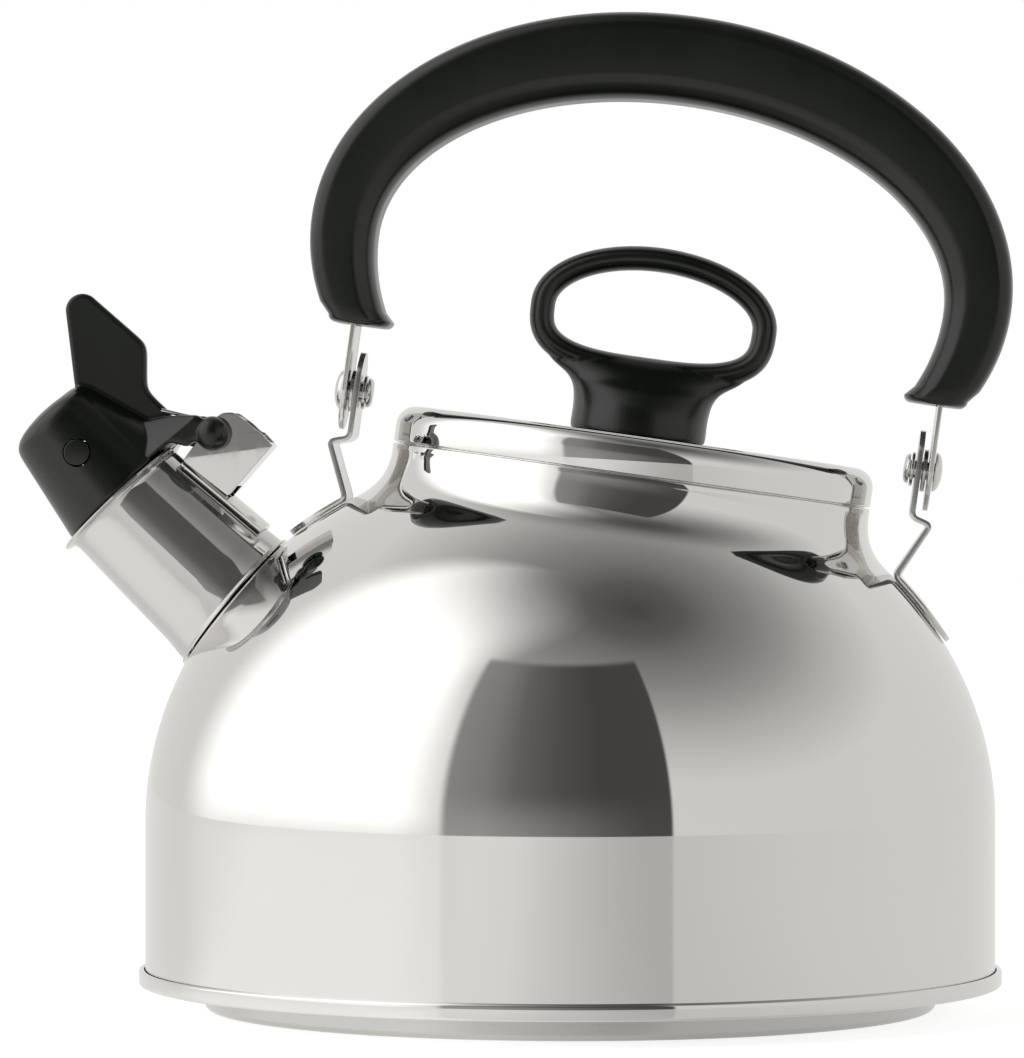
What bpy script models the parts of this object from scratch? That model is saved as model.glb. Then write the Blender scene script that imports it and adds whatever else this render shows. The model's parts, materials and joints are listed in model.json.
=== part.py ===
"""A stovetop whistling kettle: steel body and spout, lifting lid, folding handle and sprung whistle lever.

Lengths are metres. The origin is the centre of the base, +Z is up and the spout points to -X.
The neck, the lid, the knob and the handle share one frame, which leans away from the spout.
"""

import math

import bmesh
import bpy
from mathutils import Matrix, Vector

MM = 0.001
GAP = 0.3 * MM
SHEET = 0.8 * MM
ROUND_STEPS = 40
SMALL_STEPS = 24
SPOUT_STEPS = 32

# The body: a straight wall, then half an ellipsoid cut off where the neck begins.
BODY_RADIUS = 100 * MM
WALL_TOP = 44 * MM
DOME_HEIGHT = 88.3 * MM
DOME_CUT_POLAR = math.radians(39.2)
DOME_CUT_TILT = math.radians(9.04)
DOME_STEPS = 9
SEAM_RADIUS = 101.5 * MM
SEAM_BOTTOM = 5.75 * MM
SEAM_TOP = 9.5 * MM
SHELL_FOOT = 6.9 * MM
BASE_RADIUS = 86 * MM

# The leaning frame of the neck, lid, knob and handle. Its origin is the centre of the neck's rim.
NECK_TILT = math.radians(8)
NECK_CENTRE = Vector((14.5 * MM, 0, 125.2 * MM))
NECK_RADIUS = 56.6 * MM
LID_TOP = 9.06 * MM
LID_SHEET = 0.7 * MM
LID_CORNER = 4.5 * MM
SLEEVE_RADIUS = 55.2 * MM
SLEEVE_DEPTH = 10 * MM

# The knob: a round pedestal that flares into an oval finger loop.
LOOP_HALF_WIDTH = 26.3 * MM
LOOP_WIDEST = 37.6 * MM
LOOP_RISE = 13.6 * MM
LOOP_DROP = 12.5 * MM
LOOP_BAR = 2.9 * MM
LOOP_DEPTH_RATIO = 1.5
SCREW_RADIUS = 2.1 * MM

# The handle: an arched grip on two steel tangs, which turn on rivets in the body's brackets.
PIVOT_HEIGHT = 10.7 * MM
GRIP_OUTER_WIDTH = 82.8 * MM
GRIP_OUTER_CENTRE = 50 * MM
GRIP_OUTER_RISE = 58.6 * MM
GRIP_INNER_WIDTH = 67.3 * MM
GRIP_INNER_CENTRE = 48 * MM
GRIP_INNER_RISE = 40.1 * MM
GRIP_INNER_DROP = 51 * MM
GRIP_END = 26.2 * MM
GRIP_HALF_DEPTH = 11.5 * MM
GRIP_STEPS = 36
STRIP_HALF_WIDTH = 9.3 * MM
TANG_RADIUS = 69.4 * MM
TANG_SHEET = 1.2 * MM
TANG_TOP = 40 * MM
BRACKET_RADIUS = 66.5 * MM
BRACKET_SHEET = 1.25 * MM
# The left foot is shorter, because the spout's flange is next to it.
BRACKET_FOOT_LENGTH = {-1: math.radians(9.0), 1: math.radians(11.8)}
RIVET_RADIUS = 2.2 * MM
RIVET_HOLE = 2.5 * MM

# The spout: a tapered tube with a foot flange on the dome and a flared lip.
SPOUT_ROOT = Vector((-79.2 * MM, 0, 95.3 * MM))
SPOUT_MOUTH = Vector((-106.0 * MM, 0, 120.6 * MM))
SPOUT_ROOT_ELEVATION = math.radians(40)
SPOUT_MOUTH_ELEVATION = math.radians(47)
SPOUT_ROOT_RADIUS = 17.9 * MM
SPOUT_MOUTH_RADIUS = 16.0 * MM
SPOUT_LIP_RADIUS = 18.4 * MM
SPOUT_FLANGE_RADIUS = 18.9 * MM
SPOUT_HOLE_RADIUS = 15.0 * MM

# The whistle lever, which turns on a pin held by two ears above the spout.
LEVER_PIVOT = Vector((-83.7 * MM, 0, 135.0 * MM))
EAR_OFFSET = 6.0 * MM
EAR_SHEET = 1.0 * MM
PIN_RADIUS = 1.5 * MM
PIN_HOLE = 1.8 * MM
YOKE_INNER = 7.0 * MM
YOKE_OUTER = 11.5 * MM
KNUCKLE_RADIUS = 4.15 * MM
KNUCKLE_CENTRE = 9.2 * MM
FIN_HALF_THICKNESS = 1.8 * MM
CAP_PIN_HEIGHT = 13.6 * MM
CAP_PIN_RADIUS = 3.1 * MM
SPRING_RADIUS = 2.6 * MM
SPRING_WIRE = 0.45 * MM
SPRING_TURNS = 4

NECK_FRAME = Matrix.Translation(NECK_CENTRE) @ Matrix.Rotation(NECK_TILT, 4, "Y")
HANDLE_FRAME = NECK_FRAME @ Matrix.Translation((0, 0, PIVOT_HEIGHT))
MOUTH_FRAME = Matrix.Translation(SPOUT_MOUTH) @ Matrix.Rotation(
    SPOUT_MOUTH_ELEVATION - math.pi / 2, 4, "Y"
)
LEVER_FRAME = Matrix.Translation(LEVER_PIVOT)
# Turns a flat outline drawn in local X and Y into the world's X and Z.
UPRIGHT = Matrix.Rotation(math.pi / 2, 4, "X")
# Points a turned piece's own Z along the world's Y.
ALONG_Y = Matrix.Rotation(-math.pi / 2, 4, "X")


def clear_scene():
    for obj in list(bpy.data.objects):
        bpy.data.objects.remove(obj, do_unlink=True)


def new_collection(name):
    group = bpy.data.collections.new(name)
    bpy.context.scene.collection.children.link(group)
    return group


def new_material(name, colour, metallic, roughness):
    made = bpy.data.materials.new(name)
    made.use_nodes = True
    shader = made.node_tree.nodes["Principled BSDF"]
    shader.inputs["Base Color"].default_value = (*colour, 1)
    shader.inputs["Metallic"].default_value = metallic
    shader.inputs["Roughness"].default_value = roughness
    made.diffuse_color = (*colour, 1)
    return made


clear_scene()
PARTS = new_collection("whistling_kettle")
CUTTERS = new_collection("kettle_cutters")
STEEL = new_material("polished_steel", (0.78, 0.77, 0.75), 1.0, 0.07)
STRIP_STEEL = new_material("strip_steel", (0.62, 0.61, 0.59), 1.0, 0.2)
ALUMINIUM = new_material("aluminium", (0.68, 0.69, 0.7), 1.0, 0.4)
BRASS = new_material("brass", (0.71, 0.53, 0.26), 1.0, 0.3)
PLASTIC = new_material("black_plastic", (0.02, 0.022, 0.021), 0.0, 0.38)


def in_mm(points):
    return [tuple(value * MM for value in point) for point in points]


def add_object(name, data, frame, material, collection=None):
    obj = bpy.data.objects.new(name, data)
    obj.matrix_world = frame
    (collection or PARTS).objects.link(obj)
    if material:
        data.materials.append(material)
    return obj


def as_cutter(obj):
    """Moves a helper to the cutters and keeps it out of renders."""
    for group in list(obj.users_collection):
        group.objects.unlink(obj)
    CUTTERS.objects.link(obj)
    obj.hide_render = True
    obj.display_type = "WIRE"
    return obj


def combine(obj, other, operation):
    """Joins a helper to a piece, or cuts it out of the piece."""
    modifier = obj.modifiers.new(f"{operation.lower()} {other.name}", "BOOLEAN")
    modifier.operation = operation
    modifier.solver = "EXACT"
    modifier.object = as_cutter(other)


def smooth(mesh):
    mesh.shade_smooth()
    mesh.set_sharp_from_angle(angle=math.radians(35))


def skin(name, rings, frame, material, wrap=False, caps=False):
    """A mesh through rings of points, each ring with the same number of points.

    wrap joins the last ring to the first, and caps closes the first and the last ring.
    """
    shape = bmesh.new()
    rows = [[shape.verts.new(point) for point in ring] for ring in rings]
    count = len(rings[0])
    for low, high in zip(rows, rows[1:] + rows[:1] if wrap else rows[1:]):
        for i in range(count):
            j = (i + 1) % count
            shape.faces.new((low[i], low[j], high[j], high[i]))
    if caps:
        shape.faces.new(rows[0][::-1])
        shape.faces.new(rows[-1])
    if wrap or caps:
        bmesh.ops.recalc_face_normals(shape, faces=shape.faces)
    mesh = bpy.data.meshes.new(name)
    shape.to_mesh(mesh)
    shape.free()
    smooth(mesh)
    return add_object(name, mesh, frame, material)


def sheet_from_grid(name, rows, thickness, frame, material):
    """A bent strip: a grid of points on the middle of the sheet, thickened both ways."""
    shape = bmesh.new()
    grid = [[shape.verts.new(point) for point in row] for row in rows]
    for low, high in zip(grid, grid[1:]):
        for i in range(len(low) - 1):
            shape.faces.new((low[i], low[i + 1], high[i + 1], high[i]))
    mesh = bpy.data.meshes.new(name)
    shape.to_mesh(mesh)
    shape.free()
    smooth(mesh)
    obj = add_object(name, mesh, frame, material)
    solid = obj.modifiers.new("sheet", "SOLIDIFY")
    solid.thickness = thickness
    solid.offset = 0
    solid.use_even_offset = True
    return obj


def turned(name, profile, frame, material, steps=ROUND_STEPS, closed=True):
    """A solid of revolution about the frame's Z. Its (radius, height) points run down the outside."""
    mesh = bpy.data.meshes.new(name)
    points = [(radius, 0, height) for radius, height in profile]
    edges = [(i, i + 1) for i in range(len(points) - 1)]
    if closed:
        edges.append((len(points) - 1, 0))
    mesh.from_pydata(points, edges, [])
    obj = add_object(name, mesh, frame, material)
    screw = obj.modifiers.new("turn", "SCREW")
    screw.axis = "Z"
    screw.angle = 2 * math.pi
    screw.steps = steps
    screw.render_steps = steps
    screw.use_merge_vertices = True
    screw.merge_threshold = 0.01 * MM
    screw.use_smooth_shade = True
    return obj


def disc_profile(radius, bottom, top):
    return [(0, top), (radius, top), (radius, bottom), (0, bottom)]


def ring_profile(outer, inner, bottom, top):
    return [(inner, top), (outer, top), (outer, bottom), (inner, bottom)]


def arc(centre, radius, start, end, steps):
    """(x, y) points of an arc, with its angles in degrees."""
    angles = [math.radians(start + (end - start) * i / steps) for i in range(steps + 1)]
    return [(centre[0] + radius * math.cos(a), centre[1] + radius * math.sin(a)) for a in angles]


def box(name, low, high, frame):
    shape = bmesh.new()
    bmesh.ops.create_cube(shape, size=1)
    size = [high[i] - low[i] for i in range(3)]
    middle = [(high[i] + low[i]) / 2 for i in range(3)]
    bmesh.ops.scale(shape, vec=size, verts=shape.verts)
    bmesh.ops.translate(shape, vec=middle, verts=shape.verts)
    mesh = bpy.data.meshes.new(name)
    shape.to_mesh(mesh)
    shape.free()
    return add_object(name, mesh, frame, None)


def as_mesh(obj):
    """Turns a curve object into a welded mesh object of the same name."""
    name = obj.name
    frame = obj.matrix_world.copy()
    bpy.context.view_layer.update()
    graph = bpy.context.evaluated_depsgraph_get()
    mesh = bpy.data.meshes.new_from_object(obj.evaluated_get(graph))
    bpy.data.objects.remove(obj, do_unlink=True)
    shape = bmesh.new()
    shape.from_mesh(mesh)
    bmesh.ops.remove_doubles(shape, verts=shape.verts, dist=0.001 * MM)
    bmesh.ops.recalc_face_normals(shape, faces=shape.faces)
    shape.to_mesh(mesh)
    shape.free()
    smooth(mesh)
    made = bpy.data.objects.new(name, mesh)
    made.matrix_world = frame
    PARTS.objects.link(made)
    return made


def plate(name, outline, half_thickness, frame, material, rounding=0):
    """A flat plate from an outline in X and Z, thickened along Y both ways."""
    curve = bpy.data.curves.new(name, "CURVE")
    curve.dimensions = "2D"
    curve.fill_mode = "BOTH"
    curve.extrude = half_thickness - rounding
    curve.bevel_depth = rounding
    curve.offset = -rounding
    curve.bevel_resolution = 1
    spline = curve.splines.new("POLY")
    spline.points.add(len(outline) - 1)
    for point, (x, z) in zip(spline.points, outline):
        point.co = (x, z, 0, 1)
    spline.use_cyclic_u = True
    return as_mesh(add_object(name, curve, frame @ UPRIGHT, material))


def wire(name, points, radius, frame, material):
    curve = bpy.data.curves.new(name, "CURVE")
    curve.dimensions = "3D"
    curve.bevel_depth = radius
    curve.bevel_resolution = 2
    curve.use_fill_caps = True
    spline = curve.splines.new("POLY")
    spline.points.add(len(points) - 1)
    for point, place in zip(spline.points, points):
        point.co = (*place, 1)
    return as_mesh(add_object(name, curve, frame, material))


def dome_point(polar, azimuth, tilt):
    """A point of the body's ellipsoid. The polar angle is counted from a pole that leans by tilt."""
    spot = Vector((math.sin(polar) * math.cos(azimuth), math.sin(polar) * math.sin(azimuth), math.cos(polar)))
    spot = Matrix.Rotation(tilt, 3, "Y") @ spot
    return Vector((spot.x * BODY_RADIUS, spot.y * BODY_RADIUS, WALL_TOP + spot.z * DOME_HEIGHT))


def dome_normal(point):
    flat = BODY_RADIUS**2
    slope = Vector((point.x / flat, point.y / flat, (point.z - WALL_TOP) / DOME_HEIGHT**2))
    return slope.normalized()


def onto_dome(point, direction, height):
    """Where a line through point meets the ellipsoid, lifted off it by height."""
    scale = Vector((BODY_RADIUS, BODY_RADIUS, DOME_HEIGHT))
    start = Vector(((point - Vector((0, 0, WALL_TOP)))[i] / scale[i] for i in range(3)))
    heading = Vector((direction[i] / scale[i] for i in range(3)))
    a = heading.dot(heading)
    b = start.dot(heading)
    c = start.dot(start) - 1
    met = point + direction * ((math.sqrt(b * b - a * c) - b) / a)
    return met + dome_normal(met) * height


# ---------------------------------------------------------------- body and base

def angles(count):
    return [2 * math.pi * i / count for i in range(count)]


def level_ring(radius, height):
    turns = angles(ROUND_STEPS)
    return [Vector((radius * math.cos(a), radius * math.sin(a), height)) for a in turns]


def neck_ring(radius, height):
    """A ring in the leaning neck frame, given in world places."""
    return [NECK_FRAME @ point for point in level_ring(radius, height)]


def body_shell():
    rings = [level_ring(BODY_RADIUS, SHELL_FOOT), level_ring(BODY_RADIUS, (SHELL_FOOT + WALL_TOP) / 2)]
    for step in range(DOME_STEPS + 1):
        share = step / DOME_STEPS
        polar = math.pi / 2 + (DOME_CUT_POLAR - math.pi / 2) * share
        rings.append([dome_point(polar, a, DOME_CUT_TILT * share) for a in angles(ROUND_STEPS)])
    for radius, height in in_mm([(60.2, -11.5), (58.5, -8.8), (57.5, -6), (56.9, -3)]):
        rings.append(neck_ring(radius, height))
    rings.append(neck_ring(NECK_RADIUS, 0))
    shell = skin("body_shell", rings, Matrix(), STEEL)
    solid = shell.modifiers.new("sheet", "SOLIDIFY")
    solid.thickness = SHEET
    solid.offset = -1
    solid.use_even_offset = True
    bore = disc_profile(SPOUT_HOLE_RADIUS, -12 * MM, 12 * MM)
    hole = turned("spout_hole", bore, spout_frame(0), None, SMALL_STEPS, closed=False)
    combine(shell, hole, "DIFFERENCE")
    return shell


def bottom_plate():
    """The floor of the body, with a rolled seam that takes the wall's foot."""
    outer = SEAM_RADIUS / MM
    top = SEAM_TOP / MM
    bottom = SEAM_BOTTOM / MM
    floor = bottom + SHEET / MM
    inner_lip = [(0, floor), (98.0, floor), (98.0, top - 0.3), (98.9, top - 0.3), (98.9, 6.6)]
    outer_lip = [(100.3, 6.6), (100.3, top), (outer - 0.5, top), (outer, top - 0.5), (outer, bottom + 0.65)]
    outline = in_mm(inner_lip + outer_lip + [(outer - 0.6, bottom), (0, bottom)])
    return turned("bottom_plate", outline, Matrix(), STEEL, closed=False)


def base_cap():
    """The shallow steel dish under the aluminium core."""
    edge = BASE_RADIUS / MM
    outside = [(edge - 0.6, 5.45), (edge, 5.45), (edge, 1.9), (edge - 0.6, 0.6), (edge - 1.9, 0), (0, 0)]
    inside = [(0, 0.6), (edge - 2.1, 0.6), (edge - 1.0, 1.2), (edge - 0.6, 2.1)]
    return turned("base_cap", in_mm(outside + inside), Matrix(), STEEL)


def heat_spreader_disc():
    edge = BASE_RADIUS / MM - 1.1
    outline = in_mm([(0, 5.4), (edge, 5.4), (edge, 2.3), (edge - 1.3, 0.95), (0, 0.95)])
    return turned("heat_spreader_disc", outline, Matrix(), ALUMINIUM, closed=False)


# ---------------------------------------------------------------- lid and knob

def lid_cover():
    middle = (NECK_RADIUS - LID_CORNER, LID_TOP - LID_CORNER)
    edge = arc(middle, LID_CORNER, 90, 0, 5)
    inner = arc(middle, LID_CORNER - LID_SHEET, 0, 90, 5)
    hole = 2.9 * MM
    outline = [(hole, LID_TOP)] + edge + [(NECK_RADIUS, GAP), (NECK_RADIUS - LID_SHEET, GAP)] + inner
    outline.append((hole, LID_TOP - LID_SHEET))
    return turned("lid_cover", outline, NECK_FRAME, STEEL)


def lid_sleeve():
    """The ring that drops into the neck, welded under the cover by its flange."""
    outer = SLEEVE_RADIUS / MM
    depth = -SLEEVE_DEPTH / MM
    outline = in_mm([
        (46, 7.6), (51.6, 7.6), (54.2, 6.4), (outer, 4.4), (outer, depth), (outer - 0.7, depth),
        (outer - 0.7, 4.2), (53.6, 5.9), (51.3, 6.9), (46, 6.9),
    ])
    return turned("lid_sleeve", outline, NECK_FRAME, STRIP_STEEL)


def loop_point(turn):
    """The middle of the finger loop's bar. The top is half an ellipse and the bottom is squarer."""
    x = math.cos(turn)
    y = math.sin(turn)
    if y >= 0:
        return Vector((LOOP_HALF_WIDTH * x, 0, LOOP_WIDEST + LOOP_RISE * y))
    power = 2 / 3.1
    return Vector((
        LOOP_HALF_WIDTH * math.copysign(abs(x) ** power, x), 0, LOOP_WIDEST - LOOP_DROP * abs(y) ** power
    ))


def finger_loop():
    points = [loop_point(turn) for turn in angles(40)]
    rings = []
    for i, point in enumerate(points):
        along = (points[(i + 1) % len(points)] - points[i - 1]).normalized()
        across = Vector((along.z, 0, -along.x))
        rings.append([
            point
            + across * (LOOP_BAR * math.cos(a))
            + Vector((0, LOOP_BAR * LOOP_DEPTH_RATIO * math.sin(a), 0))
            for a in angles(10)
        ])
    return skin("finger_loop", rings, NECK_FRAME, None, wrap=True)


def knob():
    """Oval sections, round at the lid and wide and flat where the loop begins."""
    sections = in_mm([
        (9.36, 15.4, 15.4), (10.2, 16, 16), (15, 16, 15.2), (19, 16.6, 12.6), (21.7, 18.3, 9.6),
        (24, 21.6, 7.2), (25.6, 23.4, 5.4), (27.2, 24.2, 3.2),
    ])
    rings = [
        [Vector((wide * math.cos(a), deep * math.sin(a), height)) for a in angles(28)]
        for height, wide, deep in sections
    ]
    pedestal = skin("knob", rings, NECK_FRAME, PLASTIC, caps=True)
    combine(pedestal, finger_loop(), "UNION")
    hole = turned(
        "insert_hole", disc_profile(3.7 * MM, 5 * MM, 24.4 * MM), NECK_FRAME, None, 16, closed=False
    )
    combine(pedestal, hole, "DIFFERENCE")
    return pedestal


def knob_fixings():
    """The screw that clamps the knob to the lid, its washer and the threaded insert in the knob."""
    insert = ring_profile(3.4 * MM, 2.45 * MM, 10 * MM, 23.8 * MM)
    turned("knob_insert", insert, NECK_FRAME, BRASS, 16)
    washer = ring_profile(8 * MM, 2.9 * MM, 7.1 * MM, 8.06 * MM)
    turned("knob_washer", washer, NECK_FRAME, STRIP_STEEL, SMALL_STEPS)
    shank = SCREW_RADIUS / MM
    outline = [(0, 22.6), (shank - 0.6, 22.6), (shank, 21.8), (shank, 6.8)]
    outline += [(4.6, 6.8), (4.6, 5.4), (3.9, 4.5), (0, 4.2)]
    screw = turned("knob_screw", in_mm(outline), NECK_FRAME, STRIP_STEEL, 16, closed=False)
    slot = box("driver_slot", in_mm([(-6, -0.6, 3)])[0], in_mm([(6, 0.6, 5.4)])[0], NECK_FRAME)
    combine(screw, slot, "DIFFERENCE")


# ---------------------------------------------------------------- handle

def grip_edges(turn_share):
    """The arch's inner and outer points, from the -X end (share 0) over the top to the +X end (share 1)."""
    outer_end = math.asin((GRIP_OUTER_CENTRE - GRIP_END) / GRIP_OUTER_RISE)
    inner_end = math.asin((GRIP_INNER_CENTRE - GRIP_END) / GRIP_INNER_DROP)
    outer_turn = math.pi + outer_end - (math.pi + 2 * outer_end) * turn_share
    inner_turn = math.pi + inner_end - (math.pi + 2 * inner_end) * turn_share
    inner_reach = GRIP_INNER_RISE if math.sin(inner_turn) >= 0 else GRIP_INNER_DROP
    outer = Vector((
        GRIP_OUTER_WIDTH * math.cos(outer_turn), 0, GRIP_OUTER_CENTRE + GRIP_OUTER_RISE * math.sin(outer_turn)
    ))
    inner = Vector((
        GRIP_INNER_WIDTH * math.cos(inner_turn), 0, GRIP_INNER_CENTRE + inner_reach * math.sin(inner_turn)
    ))
    return inner, outer


def grip_section(inner, outer, shrink=0):
    """A flat-sided section with a wide bevel on the finger side and a narrower one outside."""
    across = outer - inner
    thickness = across.length
    across.normalize()
    deep = GRIP_HALF_DEPTH - shrink
    low = shrink
    high = thickness - shrink
    half = [
        (low, deep - 5.6 * MM), (low + 1.2 * MM, deep - 2.4 * MM), (low + 4.5 * MM, deep),
        (high - 3.0 * MM, deep), (high - 0.8 * MM, deep - 1.6 * MM), (high, deep - 4.4 * MM),
    ]
    points = half + [(reach, -depth) for reach, depth in reversed(half)]
    return [inner + across * reach + Vector((0, depth, 0)) for reach, depth in points]


def handle_grip():
    rounding = 1.2 * MM
    rows = [grip_edges(i / GRIP_STEPS) for i in range(GRIP_STEPS + 1)]
    lift = Vector((0, 0, rounding))
    rings = [grip_section(*rows[0], shrink=rounding)]
    rings += [grip_section(rows[0][0] + lift, rows[0][1] + lift)]
    rings += [grip_section(*row) for row in rows[1:-1]]
    rings += [grip_section(rows[-1][0] + lift, rows[-1][1] + lift)]
    rings += [grip_section(*rows[-1], shrink=rounding)]
    grip = skin("handle_grip", rings, NECK_FRAME, PLASTIC, caps=True)
    for side in (-1, 1):
        near = side * (TANG_RADIUS - TANG_SHEET / 2 - GAP)
        far = side * (TANG_RADIUS + TANG_SHEET / 2 + GAP)
        wide = STRIP_HALF_WIDTH + GAP
        slot = box(
            f"tang_slot_{side}",
            (min(near, far), -wide, GRIP_END - 5 * MM),
            (max(near, far), wide, TANG_TOP + GAP),
            NECK_FRAME,
        )
        combine(grip, slot, "DIFFERENCE")
    return grip


def across_pivot(name, side, start, end, radius, steps=SMALL_STEPS):
    """A cylinder along the pivot line on one side, between two distances from the neck's axis."""
    return turned(name, disc_profile(radius, start, end), pivot_frame(side), None, steps, closed=False)


def pivot_frame(side):
    """Local Z points outward along the handle's pivot line."""
    return HANDLE_FRAME @ Matrix.Rotation(side * math.pi / 2, 4, "Y")


def handle_tang(side, label):
    """A steel strip with a round end on the rivet. Its other end is moulded into the grip."""
    reach = TANG_TOP - PIVOT_HEIGHT
    outline = [(STRIP_HALF_WIDTH, reach), (-STRIP_HALF_WIDTH, reach)]
    outline += arc((0, 0), STRIP_HALF_WIDTH, 180, 360, 14)
    turn = Matrix.Translation((side * TANG_RADIUS, 0, 0)) @ Matrix.Rotation(math.pi / 2, 4, "Z")
    tang = plate(f"handle_tang_{label}", outline, TANG_SHEET / 2, HANDLE_FRAME @ turn, STRIP_STEEL)
    hole = across_pivot(f"tang_hole_{label}", side, 60 * MM, 80 * MM, RIVET_HOLE, 16)
    combine(tang, hole, "DIFFERENCE")
    return tang


def bracket_rows(side):
    """The bracket's middle surface: a round-topped upright, a jog out and back, and a foot on the dome."""
    to_neck = NECK_FRAME.inverted()
    columns = 7
    rows = []

    def straight_row(radius, height, half_width):
        rows.append([
            Vector((side * radius, half_width * (2 * i / (columns - 1) - 1), height)) for i in range(columns)
        ])

    for lift in (9.28, 8.6, 6.9, 4.4, 0):
        half_width = math.sqrt(STRIP_HALF_WIDTH**2 - (lift * MM) ** 2)
        straight_row(BRACKET_RADIUS, PIVOT_HEIGHT + lift * MM, max(half_width, 1.2 * MM))
    for radius, height in in_mm([(66.5, -0.5), (71.1, -1.8)]):
        straight_row(radius, height, STRIP_HALF_WIDTH)
    foot_start = DOME_CUT_POLAR + math.radians(1.6)
    end_polar = foot_start + BRACKET_FOOT_LENGTH[side]
    half_angle = STRIP_HALF_WIDTH / BODY_RADIUS
    steps = 7
    for step in range(steps + 1):
        polar = foot_start + BRACKET_FOOT_LENGTH[side] * (1 - (1 - step / steps) ** 1.6)
        left = end_polar - polar
        inside = max(half_angle**2 - max(half_angle - left, 0) ** 2, 0)
        half_width = max(math.sqrt(inside) * BODY_RADIUS, 1.6 * MM)
        row = []
        for i in range(columns):
            y = half_width * (2 * i / (columns - 1) - 1)
            azimuth = math.asin(y / (BODY_RADIUS * math.sin(polar)))
            if side < 0:
                azimuth = math.pi - azimuth
            spot = dome_point(polar, azimuth, DOME_CUT_TILT)
            spot += dome_normal(spot) * (GAP + BRACKET_SHEET / 2)
            row.append(to_neck @ spot)
        rows.append(row)
    return rows


def handle_bracket(side, label):
    bracket = sheet_from_grid(
        f"handle_bracket_{label}", bracket_rows(side), BRACKET_SHEET, NECK_FRAME, STRIP_STEEL
    )
    hole = across_pivot(f"bracket_hole_{label}", side, 60 * MM, 80 * MM, RIVET_HOLE, 16)
    combine(bracket, hole, "DIFFERENCE")
    return bracket


def pivot_pieces(side, label):
    """The rivet, the washer behind the bracket and the spring washer between bracket and tang."""
    frame = pivot_frame(side)
    shank = RIVET_RADIUS / MM
    head = [(0, 72.2), (1.7, 72.05), (3.2, 71.55), (4.3, 70.8), (4.65, 70.3), (shank, 70.3)]
    tail = [(shank, 64.45), (3.5, 64.45), (3.5, 63.8), (2.6, 63.3), (0, 63.1)]
    turned(f"pivot_rivet_{label}", in_mm(head + tail), frame, STRIP_STEEL, 20, closed=False)
    flat = ring_profile(4 * MM, RIVET_HOLE, 64.75 * MM, 65.5 * MM)
    turned(f"rivet_washer_{label}", flat, frame, STRIP_STEEL, 20)
    sprung = ring_profile(5 * MM, RIVET_HOLE, 67.5 * MM, 68.45 * MM)
    turned(f"spring_washer_{label}", sprung, frame, STRIP_STEEL, 20)


# ---------------------------------------------------------------- spout

def spout_frame(share):
    """A frame on the spout's axis: local Z runs out along the spout and local X is its upper side."""
    centre = SPOUT_ROOT.lerp(SPOUT_MOUTH, share)
    elevation = SPOUT_ROOT_ELEVATION + (SPOUT_MOUTH_ELEVATION - SPOUT_ROOT_ELEVATION) * share
    return Matrix.Translation(centre) @ Matrix.Rotation(elevation - math.pi / 2, 4, "Y")


def spout_radius(share):
    return SPOUT_ROOT_RADIUS + (SPOUT_MOUTH_RADIUS - SPOUT_ROOT_RADIUS) * share


def spout_ring(share, radius, lift=0.0):
    frame = spout_frame(share)
    return [
        frame @ Vector((radius * math.cos(a), radius * math.sin(a), lift)) for a in angles(SPOUT_STEPS)
    ]


def spout_foot_ring(radius, height):
    """A ring round the spout's axis that lies on the dome at a given height above it."""
    frame = spout_frame(0)
    outward = frame.to_3x3() @ Vector((0, 0, 1))
    ring = [frame @ Vector((radius * math.cos(a), radius * math.sin(a), 0)) for a in angles(SPOUT_STEPS)]
    return [onto_dome(point, outward, height) for point in ring]


def spout_tube():
    wall = 0.8 * MM
    foot = 0.8 * MM
    rings = [
        spout_foot_ring(SPOUT_FLANGE_RADIUS, GAP),
        spout_foot_ring(SPOUT_FLANGE_RADIUS, GAP + foot),
        spout_foot_ring(SPOUT_ROOT_RADIUS + 0.5 * MM, GAP + foot + 0.2 * MM),
        spout_ring(0.16, spout_radius(0.13)),
        spout_ring(0.55, spout_radius(0.55)),
        spout_ring(0.94, spout_radius(0.94)),
        spout_ring(1, SPOUT_MOUTH_RADIUS + 0.5 * MM, -1.1 * MM),
        spout_ring(1, SPOUT_LIP_RADIUS, -0.6 * MM),
        spout_ring(1, SPOUT_LIP_RADIUS),
        spout_ring(1, SPOUT_MOUTH_RADIUS + 0.1 * MM),
        spout_ring(0.96, spout_radius(0.96) - wall),
        spout_ring(0.55, spout_radius(0.55) - wall),
        spout_ring(0.16, spout_radius(0.13) - wall),
        spout_foot_ring(SPOUT_ROOT_RADIUS - wall, GAP),
    ]
    return skin("spout_tube", rings, Matrix(), STEEL, wrap=True)


def saddle_rows():
    """The middle of the bracket's foot, which follows the top of the tube."""
    rows = []
    for step in range(5):
        share = 0.16 + (0.865 - 0.16) * step / 4
        frame = spout_frame(share)
        radius = spout_radius(share) + GAP + EAR_SHEET / 2
        half_turn = 8 * MM / radius
        turns = [half_turn * (1 - i / 4) for i in range(9)]
        rows.append([frame @ Vector((radius * math.cos(t), radius * math.sin(t), 0)) for t in turns])
    return rows


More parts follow.
